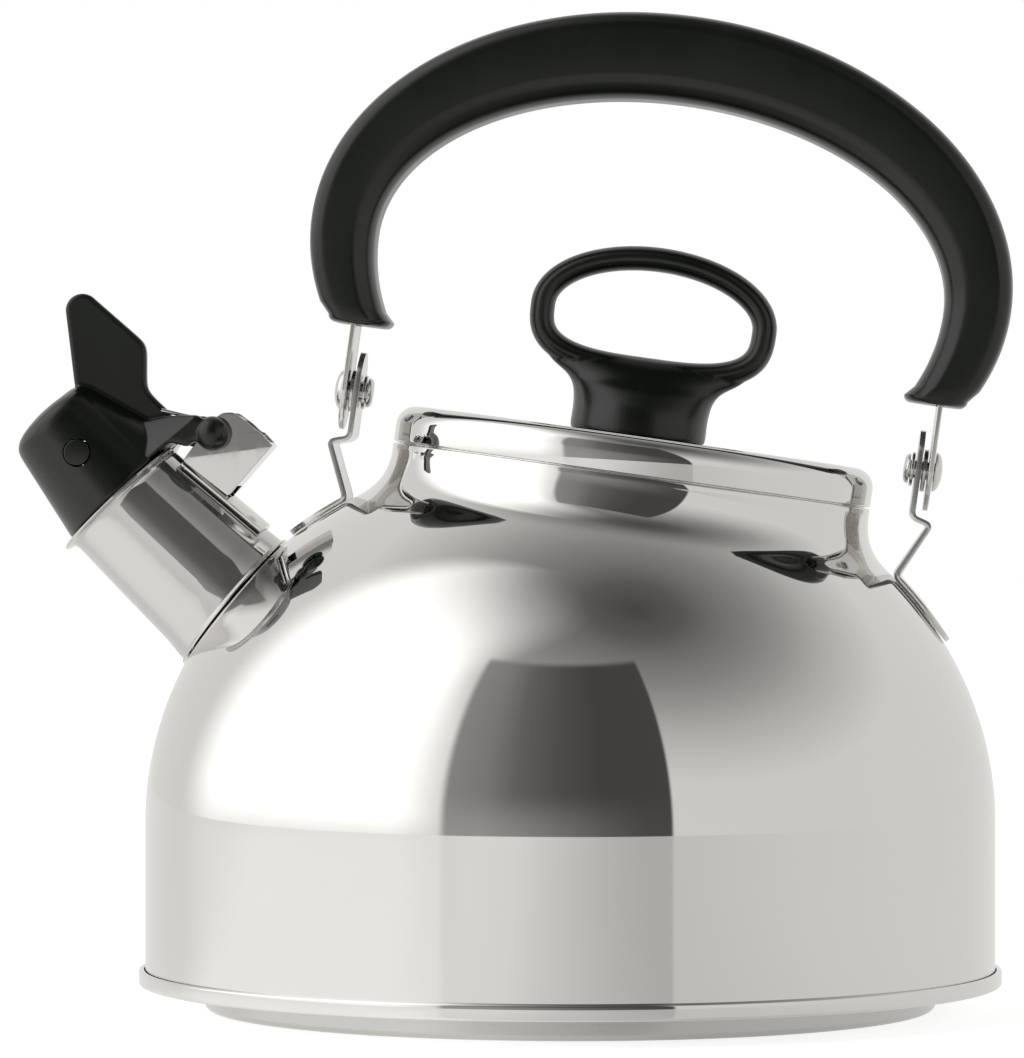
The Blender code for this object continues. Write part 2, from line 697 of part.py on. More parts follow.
def spout_hinge_bracket():
    """A folded sheet: a saddle on the tube, two ears for the pin and a back wall between them."""
    bracket = sheet_from_grid("spout_hinge_bracket", saddle_rows(), EAR_SHEET, Matrix(), STRIP_STEEL)
    ear = in_mm([
        (-7.4, -6.3), (-4.0, -1.8), (-1.2, 2.6), (1.9, 5.0), (3.1, 5.3), (4.7, 5.1), (8.0, 2.7), (10.2, 0.6),
        (10.9, 0.5), (13.9, -2.7), (3.4, -14.7),
    ])
    for side in (-1, 1):
        frame = LEVER_FRAME @ Matrix.Translation((0, side * EAR_OFFSET, 0))
        combine(bracket, plate(f"ear_{side}", ear, EAR_SHEET / 2, frame, None), "UNION")
    back = in_mm([(13.9, -2.7), (5.6, -12.2), (4.9, -11.5), (13.2, -2.0)])
    combine(bracket, plate("back_wall", back, EAR_OFFSET, LEVER_FRAME, None), "UNION")
    bore = disc_profile(PIN_HOLE, -10 * MM, 10 * MM)
    hole = turned("ear_hole", bore, LEVER_FRAME @ ALONG_Y, None, 16, closed=False)
    combine(bracket, hole, "DIFFERENCE")
    return bracket


def hinge_pin():
    pin = disc_profile(PIN_RADIUS, -11 * MM, 11 * MM)
    turned("hinge_pin", pin, LEVER_FRAME @ ALONG_Y, STRIP_STEEL, 16, closed=False)


def lever_springs():
    """The torsion spring on the pin, and its free arm, which lies on the lever and turns with it."""
    half = 4.0 * MM
    steps = 9
    count = SPRING_TURNS * steps
    coil = []
    for i in range(count + 1):
        turn = math.radians(-50) - 2 * math.pi * i / steps
        y = half - 2 * half * i / count
        coil.append(Vector((SPRING_RADIUS * math.cos(turn), y, SPRING_RADIUS * math.sin(turn))))
    leg = Vector((8.2 * MM, half, -7.4 * MM))
    wire("lever_spring", [leg] + coil, SPRING_WIRE, LEVER_FRAME, STRIP_STEEL)
    rest = Vector((-12.6 * MM, -half - 0.2 * MM, 5.65 * MM))
    turn = math.atan2(rest.z, rest.x) - math.acos(SPRING_RADIUS / math.hypot(rest.x, rest.z))
    tangent = Vector((SPRING_RADIUS * math.cos(turn), -half - 1.1 * MM, SPRING_RADIUS * math.sin(turn)))
    wire("lever_spring_arm", [tangent, rest], SPRING_WIRE, LEVER_FRAME, STRIP_STEEL)


# ---------------------------------------------------------------- whistle lever

def fin_outline():
    """The thumb fin, measured from the lever's pivot."""
    tip = [(x, z) for x, z in arc((-31.8, 29.3), 4.0, 180, 42, 6)]
    shoulder = [(-18.4, 22.9), (-17.0, 21.4), (-16.5, 19.5)]
    root = [(-16.5, 12.2), (-16.2, 10.7), (-15.2, 9.2), (-10.2, 4.4), (-13.1, -1.6), (-32.4, 8.6)]
    root.append((-33.6, 11.2))
    return in_mm(tip + shoulder + root)


def yoke_outline():
    return in_mm([
        (-14.9, -6.2), (-9.9, -2.0), (-5.7, -3.1), (-4.3, -1.7), (-1.5, -3.0), (0.5, 0), (-1.5, 3.2),
        (-3.4, 4.4), (-10.4, 4.3), (-22.4, 1.9),
    ])


def knuckle(side):
    """A ball on the end of the yoke's arm, flat where it faces the ear."""
    outline = arc((0, KNUCKLE_CENTRE), KNUCKLE_RADIUS, 90, -32, 8)
    outline.append((0, outline[-1][1]))
    frame = LEVER_FRAME @ (ALONG_Y if side > 0 else ALONG_Y.inverted())
    return turned(f"knuckle_{side}", outline, frame, None, 16, closed=False)


def cap_profile(inner):
    """The cap's outside, or the hollow inside it, which runs on past its open end."""
    if inner:
        return in_mm([(0, 25.4), (6, 25.0), (9.0, 23.6), (9.9, 22.0), (14.0, 0), (14.0, -2), (0, -2)])
    return in_mm([
        (0, 27.4), (5, 26.9), (8.8, 26.0), (10.9, 24.5), (11.7, 22.6), (15.6, 1.2), (15.5, 0.3), (0, 0.3),
    ])


def cap_pin_frame(side):
    """Local Z runs out through the cap's side, along the plug that holds the whistle."""
    turn = ALONG_Y if side > 0 else ALONG_Y.inverted()
    return MOUTH_FRAME @ Matrix.Translation((0, 0, CAP_PIN_HEIGHT)) @ turn


def whistle_cap():
    """The moulded lever: a hollow cap on the mouth, the thumb fin and the two-armed yoke."""
    cap = turned("whistle_cap", cap_profile(inner=False), MOUTH_FRAME, PLASTIC, 32, closed=False)
    fin = plate("thumb_fin", fin_outline(), FIN_HALF_THICKNESS, LEVER_FRAME, None, rounding=0.7 * MM)
    combine(cap, fin, "UNION")
    yoke = plate("yoke", yoke_outline(), YOKE_OUTER, LEVER_FRAME, None)
    low = (-9.2 * MM, -YOKE_INNER, -9 * MM)
    high = (9 * MM, YOKE_INNER, 9 * MM)
    slot = box("yoke_slot", low, high, LEVER_FRAME)
    combine(cap, yoke, "UNION")
    combine(cap, slot, "DIFFERENCE")
    for side in (-1, 1):
        combine(cap, knuckle(side), "UNION")
    outlet = disc_profile(2.5 * MM, 20 * MM, 30 * MM)
    bore = disc_profile(PIN_HOLE, -11.3 * MM, 11.3 * MM)
    cutters = [
        turned("cap_hollow", cap_profile(inner=True), MOUTH_FRAME, None, 32, closed=False),
        turned("steam_outlet", outlet, MOUTH_FRAME, None, 16, closed=False),
        turned("pin_bore", bore, LEVER_FRAME @ ALONG_Y, None, 16, closed=False),
    ]
    for side in (-1, 1):
        hole = disc_profile(CAP_PIN_RADIUS + GAP, 6 * MM, 20 * MM)
        cutters.append(turned(f"cap_pin_hole_{side}", hole, cap_pin_frame(side), None, 20, closed=False))
    for cutter in cutters:
        combine(cap, cutter, "DIFFERENCE")
    return cap


def whistle_pieces():
    """The steel whistle inside the cap: a cup and a disc with a chamber between them, held by two plugs."""
    outside = [(11.2, 9.4), (11.8, 9.4), (13.2, 1.5), (13.3, -2.2), (12.8, -2.7), (2.2, -2.7)]
    inside = [(2.2, -2.1), (12.4, -2.1), (12.7, -1.8), (12.6, 1.4)]
    turned("whistle_cup", in_mm(outside + inside), MOUTH_FRAME, STRIP_STEEL, 32)
    ring = ring_profile(12.1 * MM, 11.4 * MM, -1.8 * MM, 2.7 * MM)
    turned("whistle_ring", ring, MOUTH_FRAME, STRIP_STEEL, 32)
    disc = ring_profile(11.8 * MM, 2.2 * MM, 3.0 * MM, 3.6 * MM)
    turned("whistle_disc", disc, MOUTH_FRAME, STRIP_STEEL, 32)
    for side, label in ((-1, "front"), (1, "back")):
        plug = disc_profile(CAP_PIN_RADIUS, 11.0 * MM, 13.1 * MM)
        turned(f"cap_plug_{label}", plug, cap_pin_frame(side), PLASTIC, 20, closed=False)


# ---------------------------------------------------------------- assembly

def build():
    body_shell()
    bottom_plate()
    base_cap()
    heat_spreader_disc()
    spout_tube()
    spout_hinge_bracket()
    hinge_pin()
    lever_springs()
    lid_cover()
    lid_sleeve()
    knob()
    knob_fixings()
    handle_grip()
    for side, label in ((-1, "left"), (1, "right")):
        handle_bracket(side, label)
        handle_tang(side, label)
        pivot_pieces(side, label)
    whistle_cap()
    whistle_pieces()


def hang_on(name, frame, nodes):
    """Parents the pieces of one moving body to an empty on its joint's axis."""
    pivot = bpy.data.objects.new(name, None)
    pivot.matrix_world = frame
    pivot.empty_display_size = 20 * MM
    PARTS.objects.link(pivot)
    for node in nodes:
        obj = bpy.data.objects[node]
        obj.parent = pivot
        obj.matrix_parent_inverse = frame.inverted()


HANDLE_NODES = ["handle_grip", "handle_tang_left", "handle_tang_right"]
LID_NODES = ["lid_cover", "lid_sleeve", "knob", "knob_insert", "knob_washer", "knob_screw"]
LEVER_NODES = [
    "whistle_cap", "whistle_cup", "whistle_ring", "whistle_disc", "cap_plug_front", "cap_plug_back",
    "lever_spring_arm",
]

build()
hang_on("handle_pivot", HANDLE_FRAME, HANDLE_NODES)
hang_on("lid_axis", NECK_FRAME, LID_NODES)
hang_on("lever_pivot", LEVER_FRAME, LEVER_NODES)
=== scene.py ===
"""The looks of a stovetop whistling kettle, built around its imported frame.

Lengths are metres in the frame's axes: +Z up, spout towards -X, camera on the -Y side.
Every piece is a finer mesh of the CAD node that it stands for, in the same place.
"""

import json
import math

import bmesh
import bpy
from mathutils import Matrix, Vector


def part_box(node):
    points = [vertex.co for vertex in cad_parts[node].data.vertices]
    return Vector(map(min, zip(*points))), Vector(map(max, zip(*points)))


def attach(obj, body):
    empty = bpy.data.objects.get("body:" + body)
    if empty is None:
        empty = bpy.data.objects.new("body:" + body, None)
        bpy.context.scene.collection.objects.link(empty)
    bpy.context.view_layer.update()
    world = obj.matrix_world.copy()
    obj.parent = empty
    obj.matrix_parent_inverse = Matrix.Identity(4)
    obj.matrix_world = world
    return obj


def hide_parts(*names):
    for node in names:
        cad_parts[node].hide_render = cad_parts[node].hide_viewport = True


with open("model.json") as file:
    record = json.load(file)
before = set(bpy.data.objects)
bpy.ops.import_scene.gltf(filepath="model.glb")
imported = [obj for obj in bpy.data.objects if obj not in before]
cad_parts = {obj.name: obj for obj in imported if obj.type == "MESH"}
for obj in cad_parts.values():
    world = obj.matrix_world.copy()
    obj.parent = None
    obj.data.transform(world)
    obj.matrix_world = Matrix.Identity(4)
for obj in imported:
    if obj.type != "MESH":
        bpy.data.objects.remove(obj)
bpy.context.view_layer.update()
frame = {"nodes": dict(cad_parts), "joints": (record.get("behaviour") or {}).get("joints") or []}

MM = 0.001
GAP = 0.3 * MM

# -------- places taken from the frame

JOINTS = {joint["name"]: joint for joint in frame["joints"]}
LID_AXIS = Vector(JOINTS["lid_lift"]["axis"])
HANDLE_PIVOT = Vector(JOINTS["handle_swing"]["pos_m"])
LEVER_PIVOT = Vector(JOINTS["whistle_lever_turn"]["pos_m"])
PIVOT_HEIGHT = 10.7 * MM
NECK_TILT = math.atan2(LID_AXIS.x, LID_AXIS.z)
HANDLE_FRAME = Matrix.Translation(HANDLE_PIVOT) @ Matrix.Rotation(NECK_TILT, 4, "Y")
NECK_FRAME = HANDLE_FRAME @ Matrix.Translation((0, 0, -PIVOT_HEIGHT))
LEVER_FRAME = Matrix.Translation(LEVER_PIVOT)
# Turns a flat outline drawn in local X and Y into the world's X and Z.
UPRIGHT = Matrix.Rotation(math.pi / 2, 4, "X")
# Points a turned piece's own Z along the world's Y.
ALONG_Y = Matrix.Rotation(-math.pi / 2, 4, "X")

# -------- sizes that the CAD model has too

BODY_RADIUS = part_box("body_shell")[1].x
SHELL_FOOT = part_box("body_shell")[0].z
WALL_TOP = 44 * MM
DOME_HEIGHT = 88.3 * MM
DOME_CUT_POLAR = math.radians(39.2)
DOME_CUT_TILT = math.radians(9.04)
SHEET = 0.8 * MM
NECK_RADIUS = 56.6 * MM
LID_TOP = 9.06 * MM
LID_SHEET = 0.7 * MM
LID_CORNER = 4.5 * MM
SLEEVE_RADIUS = 55.2 * MM
SLEEVE_DEPTH = 10 * MM
LOOP_HALF_WIDTH = 26.3 * MM
LOOP_WIDEST = 37.6 * MM
LOOP_RISE = 13.6 * MM
LOOP_DROP = 12.5 * MM
LOOP_BAR = 2.9 * MM
LOOP_DEPTH_RATIO = 1.5
LOOP_SQUARENESS = 3.1
INSERT_HOLE = 3.7 * MM
GRIP_OUTER_WIDTH = 82.8 * MM
GRIP_OUTER_CENTRE = 50 * MM
GRIP_OUTER_RISE = 58.6 * MM
GRIP_INNER_WIDTH = 67.3 * MM
GRIP_INNER_CENTRE = 48 * MM
GRIP_INNER_RISE = 40.1 * MM
GRIP_INNER_DROP = 51 * MM
GRIP_END = 26.2 * MM
GRIP_HALF_DEPTH = 11.5 * MM
STRIP_HALF_WIDTH = 9.3 * MM
TANG_RADIUS = 69.4 * MM
TANG_SHEET = 1.2 * MM
TANG_TOP = 40 * MM
BRACKET_RADIUS = 66.5 * MM
BRACKET_SHEET = 1.25 * MM
BRACKET_FOOT_LENGTH = {-1: math.radians(9.0), 1: math.radians(11.8)}
RIVET_HOLE = 2.5 * MM
SPOUT_ROOT = Vector((-79.2 * MM, 0, 95.3 * MM))
SPOUT_MOUTH = Vector((-106.0 * MM, 0, 120.6 * MM))
SPOUT_ROOT_ELEVATION = math.radians(40)
SPOUT_MOUTH_ELEVATION = math.radians(47)
SPOUT_ROOT_RADIUS = 17.9 * MM
SPOUT_MOUTH_RADIUS = 16.0 * MM
SPOUT_LIP_RADIUS = 18.4 * MM
SPOUT_FLANGE = 0.9 * MM
SPOUT_HOLE_RADIUS = 15.0 * MM
SPOUT_WALL = 0.8 * MM
EAR_OFFSET = 6.0 * MM
EAR_SHEET = 1.0 * MM
EAR_LEAN = math.radians(0.98)
SADDLE_SHARES = (0.16, 0.865)
SADDLE_HALF_WIDTH = 8 * MM
DIMPLE_SHARE = 0.26
DIMPLE_TURN = 0.3
DIMPLE_HEIGHT = 0.35 * MM
YOKE_OUTER = 11.5 * MM
KNUCKLE_RADIUS = 4.15 * MM
KNUCKLE_CENTRE = 9.2 * MM
FIN_HALF_THICKNESS = 1.8 * MM
CAP_PIN_HEIGHT = 13.6 * MM
CAP_PIN_RADIUS = 3.1 * MM
PIN_BORE = 1.8 * MM
STEAM_OUTLET = 2.5 * MM
SPRING_RADIUS = 2.6 * MM
SPRING_WIRE = 0.45 * MM
SPRING_TURNS = 4
MOUTH_FRAME = Matrix.Translation(SPOUT_MOUTH) @ Matrix.Rotation(
    SPOUT_MOUTH_ELEVATION - math.pi / 2, 4, "Y"
)

# -------- how fine the meshes are

BODY_STEPS = 224
LID_STEPS = 192
SPOUT_STEPS = 96
FITTING_STEPS = 48
WHISTLE_STEPS = 72
CAP_STEPS = 96
KNOB_VOXEL = 0.35 * MM
LEVER_VOXEL = 0.3 * MM

# -------- the studio

STEEL_REFLECTANCE = 0.72
FLOOR_RADIUS = 5.0
FLOOR_MIRROR = 0.2
CAMERA_DISTANCE = 1.307
CAMERA_AZIMUTH = math.radians(2.5)
CAMERA_HEIGHT = 0.1195
CAMERA_TARGET = Vector((-0.0137, 0, 0.1126))
CAMERA_LENS = 188.6


# -------- shader helpers

def node_tree(owner):
    """A new, empty node tree of a material or a world."""
    owner.use_nodes = True
    owner.node_tree.nodes.clear()
    return owner.node_tree


def feed(tree, socket, value):
    """Sets an input to a number, a colour or another node's output."""
    if isinstance(value, bpy.types.NodeSocket):
        tree.links.new(value, socket)
    else:
        socket.default_value = value


def math_node(tree, operation, *values):
    node = tree.nodes.new("ShaderNodeMath")
    node.operation = operation
    for socket, value in zip(node.inputs, values):
        feed(tree, socket, value)
    return node.outputs[0]


def times(tree, first, second):
    return math_node(tree, "MULTIPLY", first, second)


def axes_of(tree, place):
    """The x, y and z of a vector."""
    node = tree.nodes.new("ShaderNodeSeparateXYZ")
    tree.links.new(place, node.inputs[0])
    return node.outputs


def span(tree, value, start, end, low=0.0, high=1.0, smooth=True):
    """Maps start..end to low..high, held at both ends."""
    node = tree.nodes.new("ShaderNodeMapRange")
    node.interpolation_type = "SMOOTHSTEP" if smooth else "LINEAR"
    feed(tree, node.inputs["Value"], value)
    for socket, number in zip(("From Min", "From Max", "To Min", "To Max"), (start, end, low, high)):
        feed(tree, node.inputs[socket], number)
    return node.outputs["Result"]


def mix_colour(tree, share, first, second):
    node = tree.nodes.new("ShaderNodeMix")
    node.data_type = "RGBA"
    feed(tree, node.inputs[0], share)
    feed(tree, node.inputs[6], first)
    feed(tree, node.inputs[7], second)
    return node.outputs[2]


def ramp(tree, value, stops):
    """A colour ramp. Each stop is (position, colour), in rising order."""
    node = tree.nodes.new("ShaderNodeValToRGB")
    elements = node.color_ramp.elements
    while len(elements) < len(stops):
        elements.new(0.5)
    for element, (place, colour) in zip(elements, stops):
        element.position = place
        element.color = colour
    feed(tree, node.inputs[0], value)
    return node.outputs[0]


def noise(tree, place, scale, detail=3.0, roughness=0.5):
    node = tree.nodes.new("ShaderNodeTexNoise")
    feed(tree, node.inputs["Vector"], place)
    node.inputs["Scale"].default_value = scale
    node.inputs["Detail"].default_value = detail
    node.inputs["Roughness"].default_value = roughness
    return node.outputs["Fac"]


def stretched(tree, scale=(1, 1, 1)):
    """Object coordinates, scaled. Unequal scales turn a noise into lines."""
    place = tree.nodes.new("ShaderNodeTexCoord")
    mapping = tree.nodes.new("ShaderNodeMapping")
    mapping.inputs["Scale"].default_value = scale
    tree.links.new(place.outputs["Object"], mapping.inputs["Vector"])
    return mapping.outputs["Vector"]


def bump(tree, height, strength, distance):
    node = tree.nodes.new("ShaderNodeBump")
    node.inputs["Strength"].default_value = strength
    node.inputs["Distance"].default_value = distance
    tree.links.new(height, node.inputs["Height"])
    return node.outputs["Normal"]


def new_shader(name):
    """A material with one Principled shader. Returns (material, tree, shader)."""
    material = bpy.data.materials.new(name)
    tree = node_tree(material)
    shader = tree.nodes.new("ShaderNodeBsdfPrincipled")
    output = tree.nodes.new("ShaderNodeOutputMaterial")
    tree.links.new(shader.outputs[0], output.inputs["Surface"])
    return material, tree, shader


# -------- materials

# The part of a noise's range over which the roughness runs from its smooth value to its rough one.
GLOSS_RANGE = (0.3, 0.7)


def coat(tree, shader, colour, gloss, metallic=1.0, relief=None):
    """Colour, roughness and bumps that follow noises.

    colour is (noise, dark, light), gloss is (noise, smooth, rough) and relief is (noise, strength, depth).
    """
    cloud, dark, light = colour
    feed(tree, shader.inputs["Base Color"], mix_colour(tree, cloud, (*dark, 1), (*light, 1)))
    marks, smooth, rough = gloss
    feed(tree, shader.inputs["Roughness"], span(tree, marks, *GLOSS_RANGE, smooth, rough))
    shader.inputs["Metallic"].default_value = metallic
    if relief:
        feed(tree, shader.inputs["Normal"], bump(tree, *relief))


def polished_steel():
    """Mirror-polished steel: faint clouding, hair-thin wiping marks and a very slight waviness."""
    material, tree, shader = new_shader("mirror_steel")
    place = stretched(tree)
    cloud = noise(tree, place, 22.0, 4.0)
    shader.inputs["Metallic"].default_value = 1.0
    feed(tree, shader.inputs["Base Color"], mix_colour(
        tree, cloud, (0.705, 0.695, 0.68, 1), (0.74, 0.73, 0.715, 1)
    ))
    marks = noise(tree, stretched(tree, (40, 40, 900)), 1.0, 5.0, 0.7)
    shine = times(tree, span(tree, marks, 0.52, 0.78), span(tree, cloud, 0.35, 0.7))
    feed(tree, shader.inputs["Roughness"], span(tree, shine, 0.0, 1.0, 0.025, 0.085, smooth=False))
    waviness = noise(tree, place, 14.0, 1.0)
    feed(tree, shader.inputs["Normal"], bump(tree, waviness, 0.05, 0.002))
    return material


def strip_steel():
    """Rolled strip: fine lines along its length and a softer shine."""
    material, tree, shader = new_shader("rolled_strip_steel")
    lines = noise(tree, stretched(tree, (900, 900, 30)), 1.0, 4.0, 0.6)
    cloud = noise(tree, stretched(tree), 90.0)
    colour = (cloud, (0.66, 0.65, 0.63), (0.73, 0.72, 0.70))
    coat(tree, shader, colour, (lines, 0.09, 0.20), 0.88, relief=(lines, 0.08, 0.0001))
    return material


def drawn_steel():
    """The drawn spout: a little duller than the body, with a slight haze."""
    material, tree, shader = new_shader("drawn_steel")
    cloud = noise(tree, stretched(tree), 55.0)
    colour = (cloud, (0.59, 0.58, 0.565), (0.63, 0.62, 0.605))
    coat(tree, shader, colour, (cloud, 0.04, 0.075), 0.9)
    return material


def spun_steel():
    """The spun base dish, with the fine rings that turning leaves and a satin shine."""
    material, tree, shader = new_shader("spun_steel")
    x, y, z = axes_of(tree, stretched(tree))
    flat = tree.nodes.new("ShaderNodeCombineXYZ")
    feed(tree, flat.inputs[0], x)
    feed(tree, flat.inputs[1], y)
    reach = tree.nodes.new("ShaderNodeVectorMath")
    reach.operation = "LENGTH"
    tree.links.new(flat.outputs[0], reach.inputs[0])
    spot = tree.nodes.new("ShaderNodeCombineXYZ")
    feed(tree, spot.inputs[0], reach.outputs["Value"])
    feed(tree, spot.inputs[2], z)
    rings = noise(tree, spot.outputs[0], 1800.0, 3.0, 0.6)
    colour = (rings, (0.50, 0.495, 0.48), (0.58, 0.575, 0.56))
    coat(tree, shader, colour, (rings, 0.2, 0.3), relief=(rings, 0.06, 0.0001))
    return material


def bright_strip_steel():
    """Strip that was pressed between polished tools: nearly a mirror, with faint lines."""
    material, tree, shader = new_shader("bright_strip_steel")
    lines = noise(tree, stretched(tree, (700, 700, 40)), 1.0, 3.0, 0.6)
    cloud = noise(tree, stretched(tree), 60.0)
    colour = mix_colour(tree, cloud, (0.69, 0.675, 0.655, 1), (0.74, 0.725, 0.71, 1))
    feed(tree, shader.inputs["Base Color"], colour)
    feed(tree, shader.inputs["Roughness"], span(tree, lines, 0.35, 0.75, 0.012, 0.03))
    shader.inputs["Metallic"].default_value = 1.0
    return material


def turned_steel():
    """Small turned and pressed steel: washers, rivets, pins and spring wire."""
    material, tree, shader = new_shader("turned_steel")
    cloud = noise(tree, stretched(tree), 260.0)
    colour = (cloud, (0.60, 0.59, 0.575), (0.71, 0.70, 0.685))
    coat(tree, shader, colour, (cloud, 0.12, 0.26), relief=(cloud, 0.05, 0.0001))
    return material


def cast_aluminium():
    material, tree, shader = new_shader("cast_aluminium")
    grain = noise(tree, stretched(tree), 420.0, 6.0, 0.65)
    colour = (grain, (0.58, 0.585, 0.59), (0.74, 0.745, 0.75))
    coat(tree, shader, colour, (grain, 0.34, 0.55), relief=(grain, 0.25, 0.0002))
    return material


def machined_brass():
    material, tree, shader = new_shader("machined_brass")
    rings = noise(tree, stretched(tree, (60, 60, 2500)), 1.0)
    colour = (rings, (0.62, 0.43, 0.18), (0.80, 0.60, 0.30))
    coat(tree, shader, colour, (rings, 0.18, 0.34), relief=(rings, 0.12, 0.0001))
    return material


def black_plastic():
    """Moulded phenolic plastic: a greenish black with a fine grain and a soft, uneven gloss."""
    material, tree, shader = new_shader("moulded_black_plastic")
    place = stretched(tree)
    cloud = noise(tree, place, 45.0, 4.0)
    grain = noise(tree, place, 2600.0, 2.0)
    colour = (cloud, (0.0015, 0.0036, 0.0010), (0.0026, 0.0058, 0.0020))
    coat(tree, shader, colour, (cloud, 0.24, 0.33), metallic=0.0, relief=(grain, 0.18, 0.00005))
    return material


def choose_by_ray(tree, others, camera, output):
    """The camera's own rays get one shader, and every reflected or scattered ray the other."""
    choose = tree.nodes.new("ShaderNodeMixShader")
    rays = tree.nodes.new("ShaderNodeLightPath")
    tree.links.new(rays.outputs["Is Camera Ray"], choose.inputs[0])
    tree.links.new(others, choose.inputs[1])
    tree.links.new(camera, choose.inputs[2])
    tree.links.new(choose.outputs[0], output.inputs["Surface"])


def seen(level, warmth=1.0):
    """The light that polished steel shows at a display level from 0 to 1."""
    linear = ((level + 0.055) / 1.055) ** 2.4 / STEEL_REFLECTANCE
    return (linear, linear * (1 - 0.012 * warmth), linear * (1 - 0.035 * warmth), 1)


def ramp_over(tree, value, low, high, tones):
    """A ramp of steel's display levels over a range of degrees. Each tone is (degrees, level)."""
    share = span(tree, value, low, high, smooth=False)
    return ramp(tree, share, [((degrees - low) / (high - low), seen(level)) for degrees, level in tones])


def bearing(tree, place):
    """The azimuth of a point or direction, in degrees from -Y towards +X."""
    x, y, _ = axes_of(tree, place)
    return math_node(tree, "DEGREES", math_node(tree, "ARCTAN2", x, times(tree, y, -1.0)))


def degrees_from(tree, place, azimuth, height):
    """How many degrees a direction lies away from the one at this azimuth and height."""
    turn = math.radians(azimuth)
    rise = math.radians(height)
    node = tree.nodes.new("ShaderNodeVectorMath")
    node.operation = "DOT_PRODUCT"
    tree.links.new(place, node.inputs[0])
    level = math.cos(rise)
    node.inputs[1].default_value = (math.sin(turn) * level, -math.cos(turn) * level, math.sin(rise))
    return math_node(tree, "DEGREES", math_node(tree, "ARCCOSINE", node.outputs["Value"]))


def floor_paint():
    """A white table. The camera sees it nearly white, and the steel sees a painted glow: a grey, darker to
    the right, that stands in for the studio's light falling off.
    """
    material, tree, shader = new_shader("white_studio_table")
    grain = noise(tree, stretched(tree), 9.0, 4.0)
    feed(tree, shader.inputs["Base Color"], mix_colour(
        tree, grain, (0.66, 0.66, 0.655, 1), (0.70, 0.70, 0.695, 1)
    ))
    shader.inputs["Roughness"].default_value = 0.9
    shader.inputs["Specular IOR Level"].default_value = 0.1
    shader.inputs["Emission Color"].default_value = (1, 1, 1, 1)
    shader.inputs["Emission Strength"].default_value = 0.72
    glow = tree.nodes.new("ShaderNodeEmission")
    # Painted light: the table's glow all round the kettle, lighter on the left and darker to the right.
    tones = [
        (-180, 0.735), (-122, 0.73), (-100, 0.742), (-85, 0.78), (-33, 0.785), (-22, 0.807), (-11, 0.797),
        (0, 0.742), (11, 0.69), (22, 0.657), (33, 0.665), (60, 0.70), (90, 0.714), (180, 0.72),
    ]
    azimuth = bearing(tree, stretched(tree))
    feed(tree, glow.inputs["Color"], ramp_over(tree, azimuth, -180, 180, tones))
    gloss = tree.nodes.new("ShaderNodeBsdfGlossy")
    gloss.inputs["Color"].default_value = (FLOOR_MIRROR, FLOOR_MIRROR, FLOOR_MIRROR, 1)
    gloss.inputs["Roughness"].default_value = 0.02
    both = tree.nodes.new("ShaderNodeAddShader")
    tree.links.new(glow.outputs[0], both.inputs[0])
    tree.links.new(gloss.outputs[0], both.inputs[1])
    choose_by_ray(tree, both.outputs[0], shader.outputs[0], tree.nodes["Material Output"])
    return material


MIRROR = polished_steel()
STRIP = strip_steel()
BRIGHT_STRIP = bright_strip_steel()
DRAWN = drawn_steel()
SPUN = spun_steel()
TURNED = turned_steel()
ALUMINIUM = cast_aluminium()
BRASS = machined_brass()
PLASTIC = black_plastic()


# -------- mesh helpers

def in_mm(points):
    return [tuple(value * MM for value in point) for point in points]


def angles(count):
    return [2 * math.pi * i / count for i in range(count)]


def around(radius, turn, height=0.0):
    """A point at an angle round the local Z."""
    return Vector((radius * math.cos(turn), radius * math.sin(turn), height))


def arc(centre, radius, start, end, steps):
    """(x, y) points of an arc, with its angles in degrees."""
    turns = [math.radians(start + (end - start) * i / steps) for i in range(steps + 1)]
    return [(centre[0] + radius * math.cos(a), centre[1] + radius * math.sin(a)) for a in turns]


def rounded(points, radius, steps=4, closed=True):
    """An outline with its corners turned into short curves that start at most radius from the corner."""
    made = []
    count = len(points)
    for i, point in enumerate(points):
        corner = Vector(point)
        if not closed and i in (0, count - 1):
            made.append(corner)
            continue
        before = Vector(points[i - 1]) - corner
        after = Vector(points[(i + 1) % count]) - corner
        start = corner + before.normalized() * min(radius, before.length * 0.45)
        end = corner + after.normalized() * min(radius, after.length * 0.45)
        for step in range(steps + 1):
            share = step / steps
            made.append(start * (1 - share) ** 2 + corner * (2 * share * (1 - share)) + end * share**2)
    return made


def new_object(name, mesh, place=None):
    obj = bpy.data.objects.new(name, mesh)
    obj.matrix_world = place or Matrix()
    bpy.context.scene.collection.objects.link(obj)
    return obj


def finished_mesh(name, shape, sharp=35):
    bmesh.ops.recalc_face_normals(shape, faces=shape.faces)
    mesh = bpy.data.meshes.new(name)
    shape.to_mesh(mesh)
    shape.free()
    mesh.shade_smooth()
    mesh.set_sharp_from_angle(angle=math.radians(sharp))
    return mesh


def skin(name, rings, place=None, wrap=False, caps=False, sharp=35):
    """A mesh through rings of points. wrap joins the last ring to the first, and caps closes both ends."""
    shape = bmesh.new()
    rows = [[shape.verts.new(point) for point in ring] for ring in rings]
    count = len(rings[0])
    for low, high in zip(rows, rows[1:] + rows[:1] if wrap else rows[1:]):
        for i in range(count):
            j = (i + 1) % count
            shape.faces.new((low[i], low[j], high[j], high[i]))
    if caps:
        shape.faces.new(rows[0][::-1])
        shape.faces.new(rows[-1])
    return new_object(name, finished_mesh(name, shape, sharp), place)


